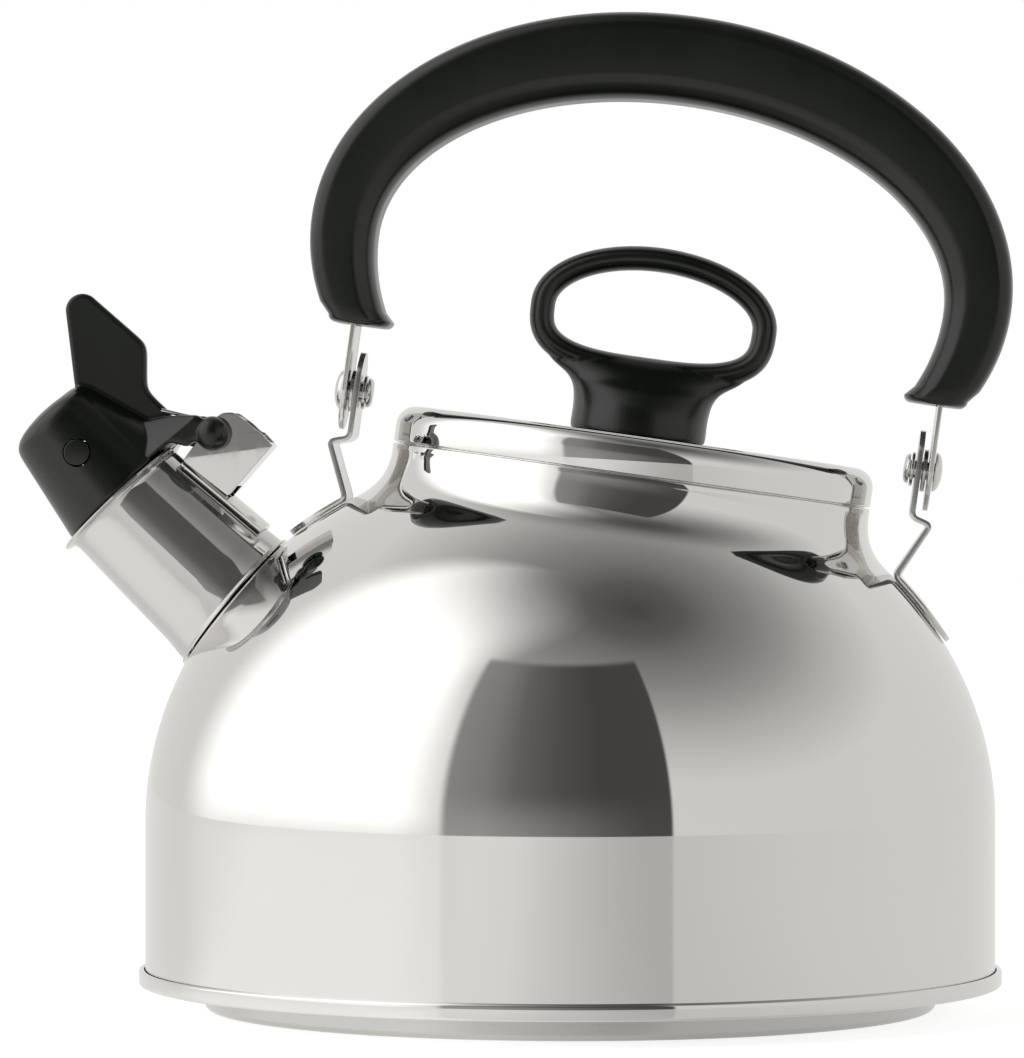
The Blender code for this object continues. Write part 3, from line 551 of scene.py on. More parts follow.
def turned(name, profile, place=None, steps=FITTING_STEPS, closed=True, sharp=35):
    """A solid of revolution about the place's Z. A profile point on the axis becomes one vertex."""
    shape = bmesh.new()
    rows = []
    for radius, height in profile:
        if radius < 0.001 * MM:
            rows.append([shape.verts.new((0, 0, height))] * steps)
        else:
            rows.append([shape.verts.new(around(radius, a, height)) for a in angles(steps)])
    for low, high in zip(rows, rows[1:] + rows[:1] if closed else rows[1:]):
        for i in range(steps):
            j = (i + 1) % steps
            corners = list(dict.fromkeys((low[i], low[j], high[j], high[i])))
            if len(corners) > 2:
                shape.faces.new(corners)
    return new_object(name, finished_mesh(name, shape, sharp), place)


def disc_profile(radius, bottom, top, rounding=0.0):
    if not rounding:
        return [(0, top), (radius, top), (radius, bottom), (0, bottom)]
    edge = arc((radius - rounding, top - rounding), rounding, 90, 0, 4)
    edge += arc((radius - rounding, bottom + rounding), rounding, 0, -90, 4)
    return [(0, top)] + edge + [(0, bottom)]


def drill(name, radius, bottom, top, place, steps=FITTING_STEPS):
    """A round cutter along the place's Z."""
    return turned(name, disc_profile(radius, bottom, top), place, steps, closed=False)


def ring_profile(outer, inner, bottom, top, rounding):
    corners = [(inner, top), (outer, top), (outer, bottom), (inner, bottom)]
    return rounded(corners, rounding, 3)


def baked(obj, sharp=None):
    """Applies the object's modifiers, or turns a curve object into a welded mesh."""
    bpy.context.view_layer.update()
    graph = bpy.context.evaluated_depsgraph_get()
    mesh = bpy.data.meshes.new_from_object(obj.evaluated_get(graph))
    if obj.type != "MESH":
        name = obj.name
        place = obj.matrix_world.copy()
        bpy.data.objects.remove(obj, do_unlink=True)
        shape = bmesh.new()
        shape.from_mesh(mesh)
        bmesh.ops.remove_doubles(shape, verts=shape.verts, dist=0.002 * MM)
        return new_object(name, finished_mesh(name, shape, sharp or 35), place)
    obj.modifiers.clear()
    obj.data = mesh
    if sharp:
        mesh.shade_smooth()
        mesh.set_sharp_from_angle(angle=math.radians(sharp))
    return obj


def modify(obj, kind, **settings):
    """Adds a modifier, which baked() applies."""
    modifier = obj.modifiers.new(kind.lower(), kind)
    for name, value in settings.items():
        setattr(modifier, name, value)


def combine(obj, others, operation, sharp=35):
    """Joins other solids to obj, or cuts them out of it, and removes them."""
    for other in others:
        modify(obj, "BOOLEAN", operation=operation, solver="EXACT", object=other)
    baked(obj, sharp)
    for other in others:
        bpy.data.objects.remove(other, do_unlink=True)
    return obj


def flat_shaded(obj):
    """Lets the large faces set the shading, so that a flat face with rounded edges reflects flat."""
    modify(obj, "WEIGHTED_NORMAL", weight=100, keep_sharp=True)
    return baked(obj)


def poly_curve(name, dimensions, points):
    """A curve through points, which has straight stretches between them. Returns (curve, spline)."""
    curve = bpy.data.curves.new(name, "CURVE")
    curve.dimensions = dimensions
    spline = curve.splines.new("POLY")
    spline.points.add(len(points) - 1)
    for point, spot in zip(spline.points, points):
        point.co = (*spot, 1)
    return curve, spline


def plate(name, outline, half_thickness, place, rounding=0.0):
    """A flat plate from an outline in X and Z, thickened along Y both ways, with rounded edges."""
    curve, spline = poly_curve(name, "2D", [(x, z, 0) for x, z in outline])
    spline.use_cyclic_u = True
    curve.fill_mode = "BOTH"
    curve.extrude = half_thickness - rounding
    curve.bevel_depth = rounding
    curve.offset = -rounding
    curve.bevel_resolution = 3
    return baked(new_object(name, curve, place @ UPRIGHT))


def wire(name, points, radius, place):
    curve, _ = poly_curve(name, "3D", points)
    curve.bevel_depth = radius
    curve.bevel_resolution = 4
    curve.use_fill_caps = True
    return baked(new_object(name, curve, place), 60)


def box(name, low, high, place):
    shape = bmesh.new()
    bmesh.ops.create_cube(shape, size=1)
    bmesh.ops.scale(shape, vec=[high[i] - low[i] for i in range(3)], verts=shape.verts)
    bmesh.ops.translate(shape, vec=[(high[i] + low[i]) / 2 for i in range(3)], verts=shape.verts)
    return new_object(name, finished_mesh(name, shape), place)


def sheet_from_grid(name, rows, thickness, place, edge=0.2 * MM):
    """A bent strip from a grid of points on the middle of the sheet, with its edges broken."""
    shape = bmesh.new()
    grid = [[shape.verts.new(point) for point in row] for row in rows]
    for low, high in zip(grid, grid[1:]):
        for i in range(len(low) - 1):
            shape.faces.new((low[i], low[i + 1], high[i + 1], high[i]))
    obj = new_object(name, finished_mesh(name, shape), place)
    modify(obj, "SOLIDIFY", thickness=thickness, offset=0, use_even_offset=True)
    modify(obj, "BEVEL", width=edge, segments=2, angle_limit=math.radians(50))
    return baked(obj, 35)


def show(obj, body, slot, material, *nodes):
    """Gives a finished piece its material and its body, and hides the nodes that it stands for. The slot is
    not used.
    """
    obj.data.transform(obj.matrix_world)
    obj.matrix_world = Matrix()
    obj.data.materials.clear()
    obj.data.materials.append(material)
    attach(obj, body)
    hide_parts(*nodes)
    return obj


# -------- the body's surface

def dome_point(polar, azimuth, tilt):
    """A point of the body's ellipsoid. The polar angle is counted from a pole that leans by tilt."""
    spot = Matrix.Rotation(tilt, 3, "Y") @ around(math.sin(polar), azimuth, math.cos(polar))
    return Vector((spot.x * BODY_RADIUS, spot.y * BODY_RADIUS, WALL_TOP + spot.z * DOME_HEIGHT))


def dome_normal(point):
    rise = (point.z - WALL_TOP) / DOME_HEIGHT**2
    return Vector((point.x / BODY_RADIUS**2, point.y / BODY_RADIUS**2, rise)).normalized()


def onto_dome(point, direction, height):
    """Where a line through point meets the ellipsoid, lifted off it by height."""
    scale = Vector((BODY_RADIUS, BODY_RADIUS, DOME_HEIGHT))
    start = Vector(((point - Vector((0, 0, WALL_TOP)))[i] / scale[i] for i in range(3)))
    heading = Vector((direction[i] / scale[i] for i in range(3)))
    a = heading.dot(heading)
    b = start.dot(heading)
    c = start.dot(start) - 1
    met = point + direction * ((math.sqrt(b * b - a * c) - b) / a)
    return met + dome_normal(met) * height


def bezier(points, share):
    first, second, third, fourth = points
    left = 1 - share
    return (
        first * left**3
        + second * (3 * left * left * share)
        + third * (3 * left * share * share)
        + fourth * share**3
    )


def neck_fillet(azimuth):
    """The curve from the dome's edge up into the neck's side, in world places."""
    start = dome_point(DOME_CUT_POLAR, azimuth, DOME_CUT_TILT)
    below = dome_point(DOME_CUT_POLAR + math.radians(0.5), azimuth, DOME_CUT_TILT)
    end = NECK_FRAME @ around(NECK_RADIUS, azimuth, -1.5 * MM)
    return start, start + (start - below).normalized() * 4.8 * MM, end - LID_AXIS * 6.2 * MM, end


def body_shell():
    """Straight wall, dome, neck fillet and rim, as one pressed sheet with the spout's hole."""
    turns = angles(BODY_STEPS)
    rings = []
    wall_steps = 8
    for step in range(wall_steps + 1):
        height = SHELL_FOOT + (WALL_TOP - SHELL_FOOT) * step / wall_steps
        rings.append([around(BODY_RADIUS, a, height) for a in turns])
    dome_steps = 56
    for step in range(1, dome_steps + 1):
        share = step / dome_steps
        polar = math.pi / 2 + (DOME_CUT_POLAR - math.pi / 2) * share
        rings.append([dome_point(polar, a, DOME_CUT_TILT * share) for a in turns])
    curves = [neck_fillet(a) for a in turns]
    fillet_steps = 16
    for step in range(1, fillet_steps + 1):
        rings.append([bezier(curve, step / fillet_steps) for curve in curves])
    for inset, drop in in_mm([(0, 0.45), (0.1, 0.16), (0.35, 0)]):
        rings.append([NECK_FRAME @ around(NECK_RADIUS - inset, a, -drop) for a in turns])
    shell = skin("pressed_body", rings, sharp=60)
    modify(shell, "SOLIDIFY", thickness=SHEET, offset=-1, use_even_offset=True)
    hole = drill("spout_hole", SPOUT_HOLE_RADIUS, -12 * MM, 12 * MM, spout_frame(0))
    combine(shell, [hole], "DIFFERENCE", 50)
    show(shell, "kettle", "polished_steel", MIRROR, "body_shell")


def base_pieces():
    seam = [(0, 6.55), (98.0, 6.55), (98.0, 9.2), (98.9, 9.2), (98.9, 6.6), (100.3, 6.6), (100.3, 9.35)]
    bead = arc((100.95, 8.95), 0.55, 135, 0, 8) + arc((100.75, 6.5), 0.75, 0, -90, 8)
    outline = in_mm(seam + bead + [(0, 5.75)])
    plate_piece = turned("rolled_seam_floor", outline, steps=BODY_STEPS, closed=False)
    show(plate_piece, "kettle", "polished_steel", MIRROR, "bottom_plate")
    outside = arc((84.4, 1.6), 1.6, 0, -90, 8)
    inside = arc((84.4, 1.6), 1.0, -90, 0, 6)
    dish = in_mm([(85.4, 5.45), (86, 5.45)] + outside + [(0, 0), (0, 0.6)] + inside)
    cap = turned("spun_base_dish", dish, steps=BODY_STEPS)
    show(cap, "kettle", "polished_steel", SPUN, "base_cap")


# -------- lid and knob

def lid_pieces():
    middle = (NECK_RADIUS - LID_CORNER, LID_TOP - LID_CORNER)
    edge = arc(middle, LID_CORNER, 90, 0, 14)
    inner = arc(middle, LID_CORNER - LID_SHEET, 0, 90, 10)
    foot = arc((NECK_RADIUS - 0.4 * MM, GAP + 0.4 * MM), 0.4 * MM, 0, -90, 4)
    hole = 2.9 * MM
    outline = [(hole, LID_TOP)] + edge + foot + [(NECK_RADIUS - LID_SHEET, GAP)] + inner
    outline.append((hole, LID_TOP - LID_SHEET))
    cover = turned("pressed_lid", outline, NECK_FRAME, LID_STEPS)
    show(cover, "lid", "polished_steel", MIRROR, "lid_cover")
    outer = SLEEVE_RADIUS / MM
    depth = -SLEEVE_DEPTH / MM
    ring = in_mm([
        (46, 7.6), (51.6, 7.6), (54.2, 6.4), (outer, 4.4), (outer, depth), (outer - 0.7, depth),
        (outer - 0.7, 4.2), (53.6, 5.9), (51.3, 6.9), (46, 6.9),
    ])
    sleeve = turned("lid_inner_sleeve", rounded(ring, 0.3 * MM, 3), NECK_FRAME, LID_STEPS)
    show(sleeve, "lid", "strip_steel", STRIP, "lid_sleeve")


def loop_point(turn):
    """The middle of the finger loop's bar. The top is half an ellipse and the bottom is squarer."""
    x = math.cos(turn)
    y = math.sin(turn)
    if y >= 0:
        return Vector((LOOP_HALF_WIDTH * x, 0, LOOP_WIDEST + LOOP_RISE * y))
    power = 2 / LOOP_SQUARENESS
    return Vector((
        LOOP_HALF_WIDTH * math.copysign(abs(x) ** power, x), 0, LOOP_WIDEST - LOOP_DROP * abs(y) ** power
    ))


def finger_loop():
    points = [loop_point(turn) for turn in angles(120)]
    rings = []
    for i, point in enumerate(points):
        along = (points[(i + 1) % len(points)] - points[i - 1]).normalized()
        across = Vector((along.z, 0, -along.x))
        rings.append([
            point
            + across * (LOOP_BAR * math.cos(a))
            + Vector((0, LOOP_BAR * LOOP_DEPTH_RATIO * math.sin(a), 0))
            for a in angles(28)
        ])
    return skin("finger_loop", rings, NECK_FRAME, wrap=True)


def smooth_profile(rows, steps):
    """Catmull-Rom points through rows of numbers, with steps between each two rows."""
    made = []
    for i in range(len(rows) - 1):
        near = [Vector(rows[max(0, min(len(rows) - 1, i + k))]) for k in (-1, 0, 1, 2)]
        start = (near[2] - near[0]) / 2
        end = (near[3] - near[1]) / 2
        for step in range(steps):
            s = step / steps
            made.append(
                near[1] * (2 * s**3 - 3 * s**2 + 1) + start * (s**3 - 2 * s**2 + s)
                + near[2] * (3 * s**2 - 2 * s**3) + end * (s**3 - s**2)
            )
    made.append(Vector(rows[-1]))
    return made


def moulded(obj, others, voxel, passes):
    """Fuses overlapping solids into one skin with small fillets, as a moulding has."""
    shape = bmesh.new()
    for solid in [obj] + others:
        solid.data.transform(obj.matrix_world.inverted() @ solid.matrix_world)
        shape.from_mesh(solid.data)
    for solid in others:
        bpy.data.objects.remove(solid, do_unlink=True)
    shape.to_mesh(obj.data)
    shape.free()
    modify(obj, "REMESH", mode="VOXEL", voxel_size=voxel, use_smooth_shade=True)
    modify(obj, "SMOOTH", factor=0.5, iterations=passes)
    return baked(obj, 60)


def knob():
    """Oval sections, round at the lid and wide and flat where the loop begins."""
    sections = smooth_profile(in_mm([
        (9.36, 15.4, 15.4), (10.2, 16, 16), (15, 16, 15.2), (19, 16.6, 12.6), (21.7, 18.3, 9.6),
        (24, 21.6, 7.2), (25.6, 23.4, 5.4), (27.2, 24.2, 3.2),
    ]), 4)
    rings = [
        [Vector((wide * math.cos(a), deep * math.sin(a), height)) for a in angles(72)]
        for height, wide, deep in sections
    ]
    piece = skin("moulded_knob", rings, NECK_FRAME, caps=True)
    moulded(piece, [finger_loop()], KNOB_VOXEL, 6)
    hole = drill("insert_hole", INSERT_HOLE, 5 * MM, 24.4 * MM, NECK_FRAME)
    combine(piece, [hole], "DIFFERENCE", 50)
    show(piece, "lid", "black_plastic", PLASTIC, "knob")


# -------- handle

def grip_edges(turn_share):
    """The inner and outer points of the arch, from its -X end (share 0) over to its +X end (share 1)."""
    outer_end = math.asin((GRIP_OUTER_CENTRE - GRIP_END) / GRIP_OUTER_RISE)
    inner_end = math.asin((GRIP_INNER_CENTRE - GRIP_END) / GRIP_INNER_DROP)
    outer_turn = math.pi + outer_end - (math.pi + 2 * outer_end) * turn_share
    inner_turn = math.pi + inner_end - (math.pi + 2 * inner_end) * turn_share
    inner_reach = GRIP_INNER_RISE if math.sin(inner_turn) >= 0 else GRIP_INNER_DROP
    outer_height = GRIP_OUTER_CENTRE + GRIP_OUTER_RISE * math.sin(outer_turn)
    inner_height = GRIP_INNER_CENTRE + inner_reach * math.sin(inner_turn)
    return (
        Vector((GRIP_INNER_WIDTH * math.cos(inner_turn), 0, inner_height)),
        Vector((GRIP_OUTER_WIDTH * math.cos(outer_turn), 0, outer_height)),
    )


def grip_section(inner, outer, shrink=0.0):
    """A flat-sided section with a wide bevel on the finger side and a narrower one outside."""
    across = outer - inner
    thickness = across.length
    across.normalize()
    deep = GRIP_HALF_DEPTH - shrink
    low = shrink
    high = thickness - shrink
    half = [
        (low, deep - 5.6 * MM), (low + 1.2 * MM, deep - 2.4 * MM), (low + 4.5 * MM, deep),
        (high - 3.0 * MM, deep), (high - 0.8 * MM, deep - 1.6 * MM), (high, deep - 4.4 * MM),
    ]
    corners = half + [(reach, -depth) for reach, depth in reversed(half)]
    return [inner + across * spot[0] + Vector((0, spot[1], 0)) for spot in rounded(corners, 1.3 * MM, 3)]


def handle_grip():
    steps = 150
    rounding = 1.6 * MM
    rows = [grip_edges(i / steps) for i in range(steps + 1)]
    rings = [grip_section(*row) for row in rows[3:-3]]
    end_steps = 5
    for step in range(end_steps + 1):
        turn = math.pi / 2 * step / end_steps
        lift = Vector((0, 0, rounding * (1 - math.sin(turn))))
        shrink = rounding * (1 - math.cos(turn))
        rings.insert(0, grip_section(rows[0][0] + lift, rows[0][1] + lift, shrink))
        rings.append(grip_section(rows[-1][0] + lift, rows[-1][1] + lift, shrink))
    grip = skin("moulded_grip", rings, NECK_FRAME, caps=True, sharp=30)
    slots = []
    for side in (-1, 1):
        near = side * (TANG_RADIUS - TANG_SHEET / 2 - GAP)
        far = side * (TANG_RADIUS + TANG_SHEET / 2 + GAP)
        wide = STRIP_HALF_WIDTH + GAP
        slots.append(box(
            f"tang_slot_{side}",
            (min(near, far), -wide, GRIP_END - 5 * MM),
            (max(near, far), wide, TANG_TOP + GAP),
            NECK_FRAME,
        ))
    combine(grip, slots, "DIFFERENCE", 30)
    show(grip, "handle", "black_plastic", PLASTIC, "handle_grip")


def pivot_frame(side):
    """Local Z points outward along the handle's pivot line."""
    return HANDLE_FRAME @ Matrix.Rotation(side * math.pi / 2, 4, "Y")


def pivot_hole(name, side):
    return drill(name, RIVET_HOLE, 60 * MM, 80 * MM, pivot_frame(side), 32)


def handle_tang(side, label):
    reach = TANG_TOP - PIVOT_HEIGHT
    outline = [(STRIP_HALF_WIDTH, reach), (-STRIP_HALF_WIDTH, reach)]
    outline += arc((0, 0), STRIP_HALF_WIDTH, 180, 360, 40)
    turn = Matrix.Translation((side * TANG_RADIUS, 0, 0)) @ Matrix.Rotation(math.pi / 2, 4, "Z")
    tang = plate(f"strip_tang_{label}", outline, TANG_SHEET / 2, HANDLE_FRAME @ turn, 0.25 * MM)
    combine(tang, [pivot_hole(f"tang_hole_{label}", side)], "DIFFERENCE")
    show(tang, "handle", "strip_steel", STRIP, f"handle_tang_{label}")


def foot_point(side, y, polar):
    """A point of the bracket's foot, lifted off the dome by half of the sheet and the gap."""
    azimuth = math.asin(y / (BODY_RADIUS * math.sin(polar)))
    if side < 0:
        azimuth = math.pi - azimuth
    spot = dome_point(polar, azimuth, DOME_CUT_TILT)
    return NECK_FRAME.inverted() @ (spot + dome_normal(spot) * (GAP + BRACKET_SHEET / 2))


def bracket_column(side, across):
    """One line down the strip, from its round top to its foot. across runs from -1 to 1 over the width."""
    full = across * STRIP_HALF_WIDTH
    line = []
    for turn in (88, 80, 70, 58, 45, 31, 16):
        height = PIVOT_HEIGHT + STRIP_HALF_WIDTH * math.sin(math.radians(turn))
        line.append(Vector((side * BRACKET_RADIUS, full * math.cos(math.radians(turn)), height)))
    foot_start = DOME_CUT_POLAR + math.radians(1.6)
    length = BRACKET_FOOT_LENGTH[side]
    half_angle = STRIP_HALF_WIDTH / BODY_RADIUS
    steps = 14
    foot = []
    for step in range(steps + 1):
        polar = foot_start + length * (1 - (1 - step / steps) ** 1.7)
        left = foot_start + length - polar
        inside = max(half_angle**2 - max(half_angle - left, 0) ** 2, 0)
        half_width = max(math.sqrt(inside) * BODY_RADIUS, 1.2 * MM)
        foot.append(foot_point(side, half_width * across, polar))
    corners = [
        Vector((side * BRACKET_RADIUS, full, PIVOT_HEIGHT)),
        Vector((side * BRACKET_RADIUS, full, -0.5 * MM)),
        Vector((side * 71.1 * MM, full, -1.8 * MM)),
        foot[0],
        foot[1],
    ]
    return line + rounded(corners, 1.5 * MM, 5, closed=False)[:-1] + foot[1:]


def handle_bracket(side, label):
    steps = 14
    columns = [bracket_column(side, 2 * i / steps - 1) for i in range(steps + 1)]
    rows = list(zip(*columns))
    bracket = sheet_from_grid(f"strip_bracket_{label}", rows, BRACKET_SHEET, NECK_FRAME)
    combine(bracket, [pivot_hole(f"bracket_hole_{label}", side)], "DIFFERENCE")
    show(bracket, "kettle", "strip_steel", STRIP, f"handle_bracket_{label}")


def pivot_pieces(side, label):
    """The rivet with its two heads, the washer behind the bracket and the spring washer at the tang."""
    place = pivot_frame(side)
    turns = [math.radians(degrees) for degrees in range(0, 91, 10)]
    head = [(4.65 * math.sin(turn), 70.45 + 1.75 * math.cos(turn)) for turn in turns]
    outline = in_mm(head + [
        (4.5, 70.3), (2.2, 70.3), (2.2, 64.45), (3.4, 64.45), (3.5, 64.3), (3.45, 63.9), (3.1, 63.5),
        (2.4, 63.2), (1.3, 63.1), (0, 63.1),
    ])
    rivet = turned(f"domed_rivet_{label}", outline, place, closed=False)
    show(rivet, "kettle", "strip_steel", TURNED, f"pivot_rivet_{label}")
    for name, node, outer, bottom, top, rounding in (
        ("flat_washer", "rivet_washer", 4, 64.75, 65.5, 0.15),
        ("wave_washer", "spring_washer", 5, 67.5, 68.45, 0.2),
    ):
        ring = ring_profile(outer * MM, RIVET_HOLE, bottom * MM, top * MM, rounding * MM)
        washer = turned(f"{name}_{label}", ring, place)
        show(washer, "kettle", "strip_steel", TURNED, f"{node}_{label}")


# -------- spout

def spout_frame(share):
    """A frame on the spout's axis: local Z runs out along the spout and local X is its upper side."""
    centre = SPOUT_ROOT.lerp(SPOUT_MOUTH, share)
    elevation = SPOUT_ROOT_ELEVATION + (SPOUT_MOUTH_ELEVATION - SPOUT_ROOT_ELEVATION) * share
    return Matrix.Translation(centre) @ Matrix.Rotation(elevation - math.pi / 2, 4, "Y")


def spout_radius(share):
    return SPOUT_ROOT_RADIUS + (SPOUT_MOUTH_RADIUS - SPOUT_ROOT_RADIUS) * share


def spout_ring(share, radius, lift=0.0):
    place = spout_frame(share)
    return [place @ around(radius, a, lift) for a in angles(SPOUT_STEPS)]


def spout_foot_ring(extra, height):
    """A ring at a given height above the dome, outside the tapered tube by extra."""
    place = spout_frame(0)
    heading = (SPOUT_MOUTH - SPOUT_ROOT).normalized()
    length = (SPOUT_MOUTH - SPOUT_ROOT).length
    ring = []
    for turn in angles(SPOUT_STEPS):
        radius = SPOUT_ROOT_RADIUS
        for _ in range(3):
            spot = onto_dome(place @ around(radius, turn), heading, height)
            radius = spout_radius((spot - SPOUT_ROOT).dot(heading) / length) + extra
        ring.append(spot)
    return ring


def spout_tube():
    """One wall that runs up the outside, over the flared lip and back down the inside."""
    foot = 0.55 * MM
    flange = [
        (SPOUT_FLANGE, 0), (SPOUT_FLANGE, foot * 0.4), (SPOUT_FLANGE - 0.12 * MM, foot * 0.8),
        (SPOUT_FLANGE - 0.35 * MM, foot), (0.3 * MM, foot), (0.08 * MM, foot + 0.12 * MM),
        (0, foot + 0.3 * MM), (0, foot + 0.6 * MM),
    ]
    rings = [spout_foot_ring(extra, GAP + height) for extra, height in flange]
    steps = 8
    for step in range(steps + 1):
        share = 0.16 + (0.93 - 0.16) * step / steps
        rings.append(spout_ring(share, spout_radius(share)))
    flare = [
        (SPOUT_MOUTH_RADIUS, 0.12, -1.7), (SPOUT_MOUTH_RADIUS, 0.4, -1.1), (SPOUT_MOUTH_RADIUS, 1.0, -0.75),
        (SPOUT_LIP_RADIUS, -0.3, -0.6), (SPOUT_LIP_RADIUS, 0, -0.42), (SPOUT_LIP_RADIUS, 0, -0.15),
        (SPOUT_LIP_RADIUS, -0.25, 0), (SPOUT_MOUTH_RADIUS, 0.5, 0), (SPOUT_MOUTH_RADIUS, -0.1, -0.3),
    ]
    rings += [spout_ring(1, radius + extra * MM, lift * MM) for radius, extra, lift in flare]
    rings += [spout_ring(share, spout_radius(share) - SPOUT_WALL) for share in (0.96, 0.55, 0.16)]
    rings.append(spout_foot_ring(-SPOUT_WALL, GAP))
    tube = skin("drawn_spout", rings, wrap=True, sharp=40)
    show(tube, "kettle", "polished_steel", DRAWN, "spout_tube")


# -------- the lever's bracket, pin and spring

def saddle_rows():
    """The middle of the bracket's foot, which follows the top of the tube, with two weld dimples."""
    rows = []
    start, end = SADDLE_SHARES
    steps = 40
    half_steps = 12
    for step in range(steps + 1):
        share = start + (end - start) * step / steps
        place = spout_frame(share)
        row = []
        for i in range(2 * half_steps + 1):
            radius = spout_radius(share) + GAP + EAR_SHEET / 2
            turn = SADDLE_HALF_WIDTH / radius * (1 - i / half_steps)
            for dimple_turn in (-DIMPLE_TURN, DIMPLE_TURN):
                reach = math.hypot((turn - dimple_turn) * 11, (share - DIMPLE_SHARE) * 28)
                radius += DIMPLE_HEIGHT * max(0.0, 1 - reach * reach)
            row.append(place @ around(radius, turn))
        rows.append(row)
    return rows


def spout_hinge_bracket():
    """A folded sheet: a saddle on the tube, two ears for the pin and a back wall between them."""
    bracket = sheet_from_grid("folded_bracket", saddle_rows(), EAR_SHEET, Matrix(), 0.15 * MM)
    corners = in_mm([
        (-7.4, -6.3), (-4.0, -1.8), (-1.2, 2.6), (1.9, 5.0), (4.7, 5.1), (8.0, 2.7), (10.2, 0.6),
        (10.9, 0.5), (13.9, -2.7), (3.4, -14.7),
    ])
    ear = rounded(corners, 0.8 * MM, 3)
    others = []
    for side in (-1, 1):
        lean = Matrix.Rotation(-side * EAR_LEAN, 4, "X")
        place = LEVER_FRAME @ Matrix.Translation((0, side * EAR_OFFSET, 0)) @ lean
        others.append(plate(f"ear_{side}", ear, EAR_SHEET / 2, place, 0.15 * MM))
    back = in_mm([(13.9, -2.7), (5.6, -12.2), (4.9, -11.5), (13.2, -2.0)])
    others.append(plate("back_wall", back, EAR_OFFSET, LEVER_FRAME))
    combine(bracket, others, "UNION")
    hole = drill("ear_hole", PIN_BORE, -10 * MM, 10 * MM, LEVER_FRAME @ ALONG_Y, 32)
    combine(bracket, [hole], "DIFFERENCE")
    flat_shaded(bracket)
    show(bracket, "kettle", "strip_steel", BRIGHT_STRIP, "spout_hinge_bracket")


def lever_springs():
    """The torsion spring on the pin, and its free arm, which lies on the lever and turns with it."""
    half = 4.0 * MM
    steps = 28
    count = SPRING_TURNS * steps
    coil = []
    for i in range(count + 1):
        turn = math.radians(-50) - 2 * math.pi * i / steps
        y = half - 2 * half * i / count
        coil.append(Vector((SPRING_RADIUS * math.cos(turn), y, SPRING_RADIUS * math.sin(turn))))
    leg = Vector((8.2 * MM, half, -7.4 * MM))
    spring = wire("torsion_spring", [leg] + coil, SPRING_WIRE, LEVER_FRAME)
    show(spring, "kettle", "strip_steel", TURNED, "lever_spring")
    rest = Vector((-12.6 * MM, -half - 0.2 * MM, 5.65 * MM))
    turn = math.atan2(rest.z, rest.x) - math.acos(SPRING_RADIUS / math.hypot(rest.x, rest.z))
    tangent = Vector((SPRING_RADIUS * math.cos(turn), -half - 1.1 * MM, SPRING_RADIUS * math.sin(turn)))
    arm = wire("spring_free_arm", [tangent, rest], SPRING_WIRE, LEVER_FRAME)
    show(arm, "whistle_lever", "strip_steel", TURNED, "lever_spring_arm")


# -------- whistle lever

def fin_outline():
    tip = in_mm(arc((-31.8, 29.3), 4.0, 180, 42, 16))
    rest = in_mm([
        (-18.4, 22.9), (-17.0, 21.4), (-16.5, 19.5), (-16.5, 12.2), (-16.2, 10.7), (-15.2, 9.2),
        (-10.2, 4.4), (-13.1, -1.6), (-32.4, 8.6), (-33.6, 11.2),
    ])
    return tip + rounded([tip[-1]] + rest + [tip[0]], 1.2 * MM, 3, closed=False)[1:-1]


def yoke_outline():
    corners = in_mm([
        (-14.9, -6.2), (-9.9, -2.0), (-5.7, -3.1), (-4.3, -1.7), (-1.5, -3.0), (0.5, 0), (-1.5, 3.2),
        (-3.4, 4.4), (-10.4, 4.3), (-22.4, 1.9),
    ])
    return rounded(corners, 0.7 * MM, 3)


def knuckle(side):
    """A ball on the end of the yoke's arm, flat where it faces the ear."""
    outline = arc((0, KNUCKLE_CENTRE), KNUCKLE_RADIUS, 90, -32, 24)
    outline[0] = (0, outline[0][1])
    outline.append((0, outline[-1][1]))
    place = LEVER_FRAME @ (ALONG_Y if side > 0 else ALONG_Y.inverted())
    return turned(f"knuckle_{side}", outline, place, closed=False)


def cap_pin_frame(side):
    """Local Z runs out through the cap's side, along the plug that holds the whistle."""
    turn = ALONG_Y if side > 0 else ALONG_Y.inverted()
    return MOUTH_FRAME @ Matrix.Translation((0, 0, CAP_PIN_HEIGHT)) @ turn


def cap_deck():
    """The cap's raised upper side, which the fin stands on. It slopes from the fin to two soft ridges."""
    rings = []
    for height, top, ridge, radius in (
        (2.0, 19.2, 15.4, 15.3), (8.0, 17.2, 13.9, 14.2), (14.0, 15.3, 12.4, 13.1),
        (20.0, 13.3, 10.9, 12.0), (23.8, 12.0, 9.9, 11.2), (25.6, 10.8, 8.8, 9.8), (26.6, 8.4, 6.6, 7.2),
    ):
        half = [(0, radius * 0.9), (radius * 0.62, radius * 0.78), (ridge, radius * 0.5), (top, 1.6)]
        corners = in_mm(half + [(x, -y) for x, y in reversed(half)])
        rings.append([Vector((point[0], point[1], height * MM)) for point in rounded(corners, 2.2 * MM, 4)])
    return skin("cap_deck", rings, MOUTH_FRAME, caps=True)


def yoke_facet(side):
    """A cutter that leaves a slanted facet on the upper left edge of one arm of the yoke."""
    along = Vector((0.754, 0, 0.656)).normalized()
    upper_left = Vector((-along.z, 0, along.x))
    outward = (upper_left + Vector((0, side, 0))).normalized()
    frame_axes = Matrix((along, outward.cross(along), outward)).transposed().to_4x4()
    corner = Matrix.Translation((-7.9 * MM, side * YOKE_OUTER, 0.5 * MM))
    reach = 30 * MM
    place = LEVER_FRAME @ corner @ frame_axes
    return box(f"facet_{side}", (-reach, -reach, 0), (reach, reach, reach), place)


